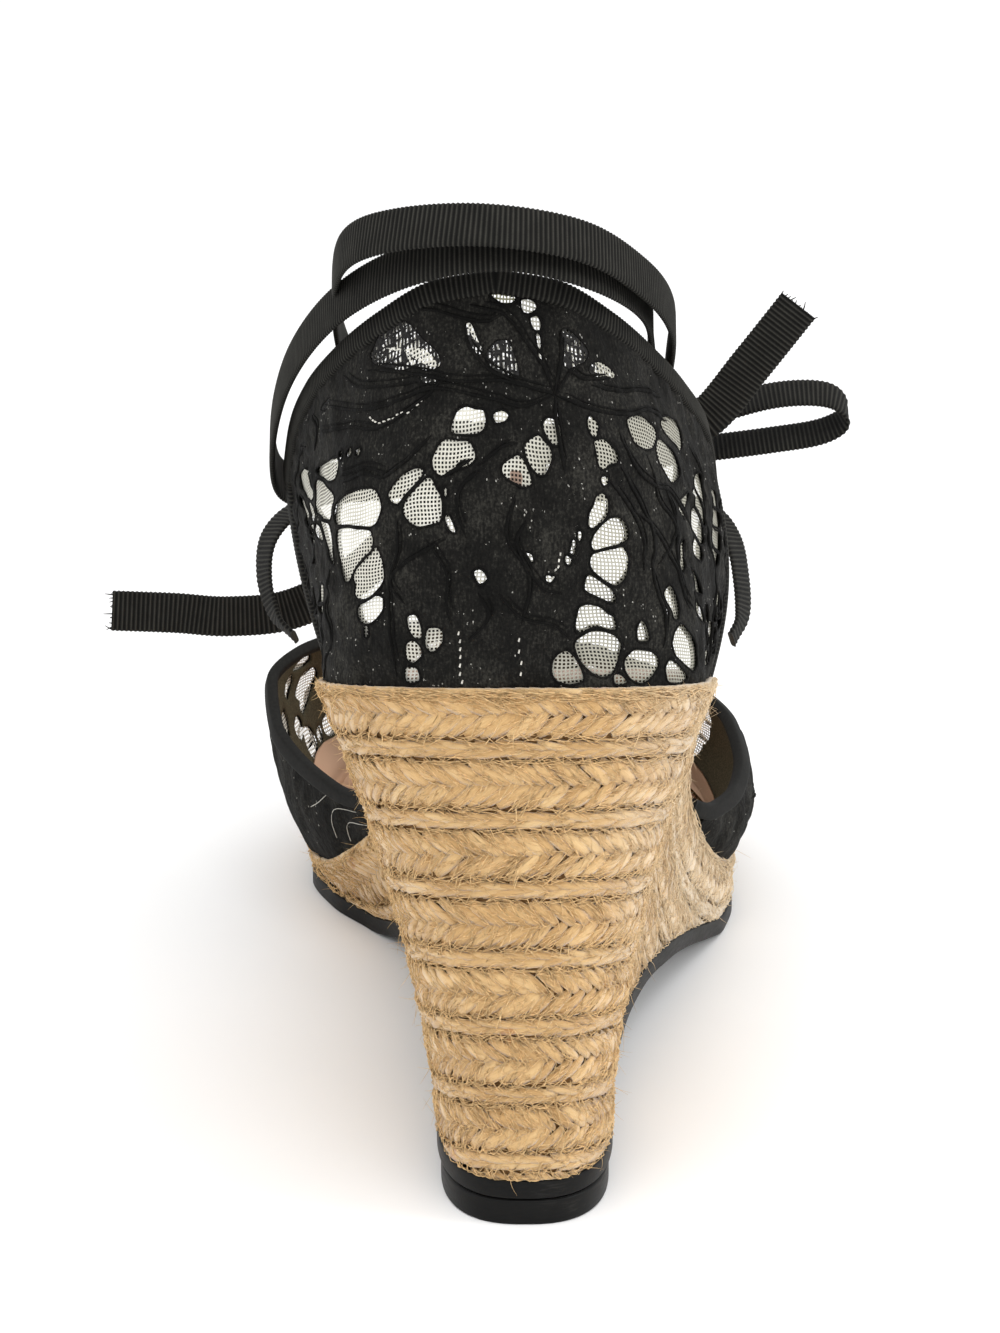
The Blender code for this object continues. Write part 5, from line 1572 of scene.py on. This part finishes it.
def makeLace(part, cells, leaves, veins):
    s, board = laceSettings, boards[part]
    edge = boardOutline(board)
    inner = shrunkEdge(edge)
    cells, leaves = ([closedLine(rounded(c), s["cellStep"]) for c in lines] for lines in (cells, leaves))
    cells = [c for c in cells if insidePolygon(c.mean(axis=0)[None], edge)[0]]
    cells, sheers = ([c[insidePolygon(c, inner)] for c in lines] for lines in (cells, leaves))
    cells = [c for c in cells if len(c) > 5]
    holes = cells + sheers
    points, faces = cutCloth(board, holes)
    clothPiece(part + "_lace", board, points, faces, s["face"], s["thick"], finishes["lace"], (part,))
    clothPiece(part + "_lining", board, points, faces, s["liningFace"], s["liningThick"],
               finishes[part + "Lining"])
    netPiece(part + "_net", board, holes, finishes[part + "Net"])
    sizes = [1.0] * len(cells) + [s["leafRim"]] * len(sheers)
    runs = [(hole, True, s["rimWide"] * size, s["rimHigh"] * size, s["face"] - s["rimSink"])
            for hole, size in zip(holes, sizes)]
    twin = s["twinSize"]
    for vein in veins:
        line = smoothPath(vein, s["veinStep"])
        line = line[insidePolygon(line, edge)]
        if len(line) > 4:
            runs.append((line, False, s["veinWide"], s["veinHigh"], s["face"] + s["veinRise"]))
            runs.append((line[3:-3] + s["twinAside"], False, s["veinWide"] * twin, s["veinHigh"] * twin,
                         s["face"]))
    cordPiece(part + "_cords", board, runs)
    if leaves:
        points, faces = leafCloth([closedLine(c, s["sheerStep"]) for c in leaves])
        place = offBoard(board, points, s["face"] - s["sheerSink"] + crinkle(points))[0]
        buildPiece(part + "_sheer", place, [faces], finishes["sheer"], (), points)


makeLace("counter", *counterDrawing())
makeLace("vamp", *vampDrawing())
print("lace made")


# ---- edge tapes of the collar and of the topline

counterTape = dict(width=4.2, thickness=2.3, ribPitch=0.86, ribHeight=0.20, step=0.215, corner=1.2,
                   clear=0.4)
vampTape = dict(width=3.4, thickness=2.35, ribPitch=0.86, ribHeight=0.03, step=0.43, finish="smoothTape")


def fromEdge(surface, distance, q=0.5):
    # the s that lies a distance behind the front edges, square to them
    s = np.linspace(0, 1, 81)
    left = runAlong(surface(s, np.full_like(s, q))[::-1])[::-1]
    along = distance / float(crossSine(surface, np.array([0.98]), np.array([q]))[0])
    return float(np.interp(-along, -left, s))


def sweptTape(name, part, s, q, shape, stands, lowest=None):
    # the tape's middle line and face at close steps, from the sparse line of s and q
    surface, sign = boards[part]["surface"], boards[part]["sign"]
    path, normal = surface(s, q), normalOf(surface, sign, s, q)
    if lowest is not None:
        path[:, 2] = np.maximum(path[:, 2], lowest(path[:, 1]))
    run = runAlong(path)
    at = np.linspace(0, run[-1], int(run[-1] / shape["step"]) + 1)
    tape(name, readAlong(path, run, at), unit(readAlong(normal, run, at)), shape, stands)


def makeTapes():
    # up one front edge of the heel quarter, along its collar and down the other edge, round both corners
    t = counterTape
    half = t["width"] / 2
    middle, corner = (fromEdge(counterPoint, half + reach) for reach in (0, t["corner"]))
    topAt = belowRim(counterPoint, np.array([middle]), half + t["corner"])[0]
    collarS = np.linspace(-corner, corner, 161)
    collarQ = belowRim(counterPoint, collarS, half)
    edgeQ = np.linspace(0, topAt, 25)
    edgeS = np.full_like(edgeQ, middle)
    turn = np.radians([15, 30, 45, 60, 75])
    roundS = corner + (middle - corner) * np.cos(turn)
    roundQ = topAt + (collarQ[-1] - topAt) * np.sin(turn)
    s = np.concatenate([-edgeS, -roundS, collarS, roundS[::-1], edgeS])
    q = np.concatenate([edgeQ, roundQ, collarQ, roundQ[::-1], edgeQ[::-1]])
    sweptTape("collar_tape", "counter", s, q, t, ("counter_binding",),
              lambda y: footbed(y - half) + t["clear"])
    s = np.linspace(-1, 1, 181)
    q = belowRim(vampPoint, s, vampTape["width"] / 2)
    sweptTape("topline_tape", "vamp", s, q, vampTape, ("vamp_binding",))


makeTapes()
print("tapes made")


# ---- pale dotted stitches low on the heel quarter, and pale loose threads on the inner wing

stitchSettings = dict(
    # columns of stitches: place along, lowest, highest and number, in hundredths like the cells
    columns=((-9.5, 3, 16, 7), (1.4, 5, 14, 4)),
    half=(0.08, 0.32), stray=0.12, radius=0.17, lift=0.08,
    # needle holes along two lines of the drawing, in hundredths too
    needles=(((-31, 75.4), (-29, 73.0), (-25.5, 71.8), (-20, 72.2), (-15.6, 73.6)),
             ((10.6, 38), (9.6, 33), (7.6, 29))),
    needleStep=0.55, needleStray=0.16,
)
threadSettings = dict(
    # loose threads on the toe piece's board, in mm
    routes=(((-110, 8.2), (-114, 8.6), (-118.6, 9.6)),
            ((-115.4, 2.8), (-116.4, 5.2), (-119, 6.8), (-122.6, 6.6), (-126, 5.4)),
            ((-119.4, 1.6), (-120.6, 3.6), (-122.4, 4.2), (-124.6, 3.4), (-127.4, 2.2))),
    step=0.3, points=14, radius=0.075, lift=0.25,
)


def makeStitches():
    s, board = stitchSettings, boards["counter"]
    along = np.linspace(-1, 1, 4)[:, None] * s["half"]
    flats = [onBoard(board, [(u, v)]) + (chance.normal(0, s["stray"]), 0) + along
             for u, low, high, count in s["columns"] for v in np.linspace(low, high, count)]
    for rows in s["needles"]:
        route = smoothPath(onBoard(board, rows), s["needleStep"])
        flats += [np.linspace(route[k], route[k + 1], 4) + chance.normal(0, s["needleStray"], 2)
                  for k in range(2, len(route) - 3, 2)]
    lift = laceSettings["face"] + s["lift"]
    lines = np.array([offBoard(board, flat, lift + crinkle(flat))[0] for flat in flats])
    tubes("counter_stitches", lines, s["radius"], finishes["stitch"], 6, 0.2)


def makeThreads():
    s, board = threadSettings, boards["vamp"]
    lines = []
    for route in s["routes"]:
        flat = smoothPath(route, s["step"])
        flat = flat[np.linspace(0, len(flat) - 1, s["points"]).astype(int)]
        lines.append(offBoard(board, flat, laceSettings["face"] + s["lift"])[0])
    tubes("vamp_threads", np.array(lines), s["radius"], finishes["stitch"], 5, 0.3)


makeStitches()
print("stitches made")


# ---- the insole's leather turned up along its foot

riseSettings = dict(
    # distances along the board in mm, and how high the leather stands there in hundredths
    inner=((26, 32, 39, 45, 50, 55, 64, 76, 84), (3, 9, 13.4, 16, 19, 18.5, 13, 6, 2)),
    outer=((24, 32, 40, 48, 56, 66, 76), (2, 6, 10, 11, 9, 5, 2)),
    # its section: share of the height, and distance in from the wall's middle surface
    section=((0.0, -0.75), (1.0, -0.75), (1.0, -1.25), (0.12, -1.6), (0.05, -9.0), (0.0, -9.0)),
    foot=0.25,
)


def makeInsoleRise():
    # sheets of leather: up the inside of each wing, and inwards over the insole at their foot
    s, board = riseSettings, boards["vamp"]
    for wing, sign in (("inner", -1), ("outer", 1)):
        reach, share = s[wing]
        a = sign * np.linspace(reach[-1], reach[0], 70)[::-sign]
        high = np.interp(np.abs(a), reach, share) / 100 * boardHeight(board, a / board["half"])
        high = softened(high[:, None], 3)[:, 0]
        grid = [offBoard(board, np.stack([a, s["foot"] + high * up], axis=1), lift)[0]
                for up, lift in s["section"]]
        buildPiece("insole_rise_" + wing, np.stack(grid, axis=1).reshape(-1, 3),
                   manyTubes(1, len(a), len(grid)), finishes["leather"])


makeThreads()
makeInsoleRise()
print("wing made")


# ---- floor, lights and the view's colour settings

stageSettings = dict(
    floorSize=6.0, floorColour=(0.94, 0.94, 0.94), floorShade=0.985, world=1.0,
    lamps=(
        # place, aim, size, watts
        ((0.0, -0.7, 1.5), (0.0, 0.0, 0.10), 1.2, 9.0),
        ((-1.3, -0.2, 0.9), (0.0, 0.05, 0.08), 0.9, 2.0),
        ((1.3, -0.25, 0.7), (0.0, 0.05, 0.08), 0.6, 6.6),
    ),
)


def makeStage():
    # white floor under the shoe, an even white surround and soft lamps over it
    s = stageSettings
    half, colour = s["floorSize"] / 2, s["floorColour"]
    mesh = bpy.data.meshes.new("studioFloor")
    mesh.from_pydata([(-half, -half, 0), (half, -half, 0), (half, half, 0), (-half, half, 0)], [],
                     [(0, 1, 2, 3)])
    f = Finish("floorWhite", colour, Roughness=0.9)
    paper = f.noise(f.objectMm(), 0.02, 2.0)
    f.feed(Base_Color=f.ramp(paper, (0.3, *shaded(colour, s["floorShade"])), (0.7, *colour)))
    mesh.materials.append(f.material)
    floor = addObject("studioFloor", mesh)
    world = bpy.data.worlds.new("studioWorld")
    bpy.context.scene.world = world
    world.use_nodes = True
    backdrop = world.node_tree.nodes["Background"]
    backdrop.inputs["Color"].default_value = (1, 1, 1, 1)
    backdrop.inputs["Strength"].default_value = s["world"]
    for number, (place, aim, size, watts) in enumerate(s["lamps"]):
        data = bpy.data.lights.new("softLamp%d" % number, "AREA")
        data.shape, data.size, data.energy = "DISK", size, watts
        addObject("softLamp%d" % number, data, place, aim)
    view = bpy.context.scene.view_settings
    view.view_transform = "Standard"
    view.look = "None"
    view.exposure = 0.0


makeStage()
print("stage made")
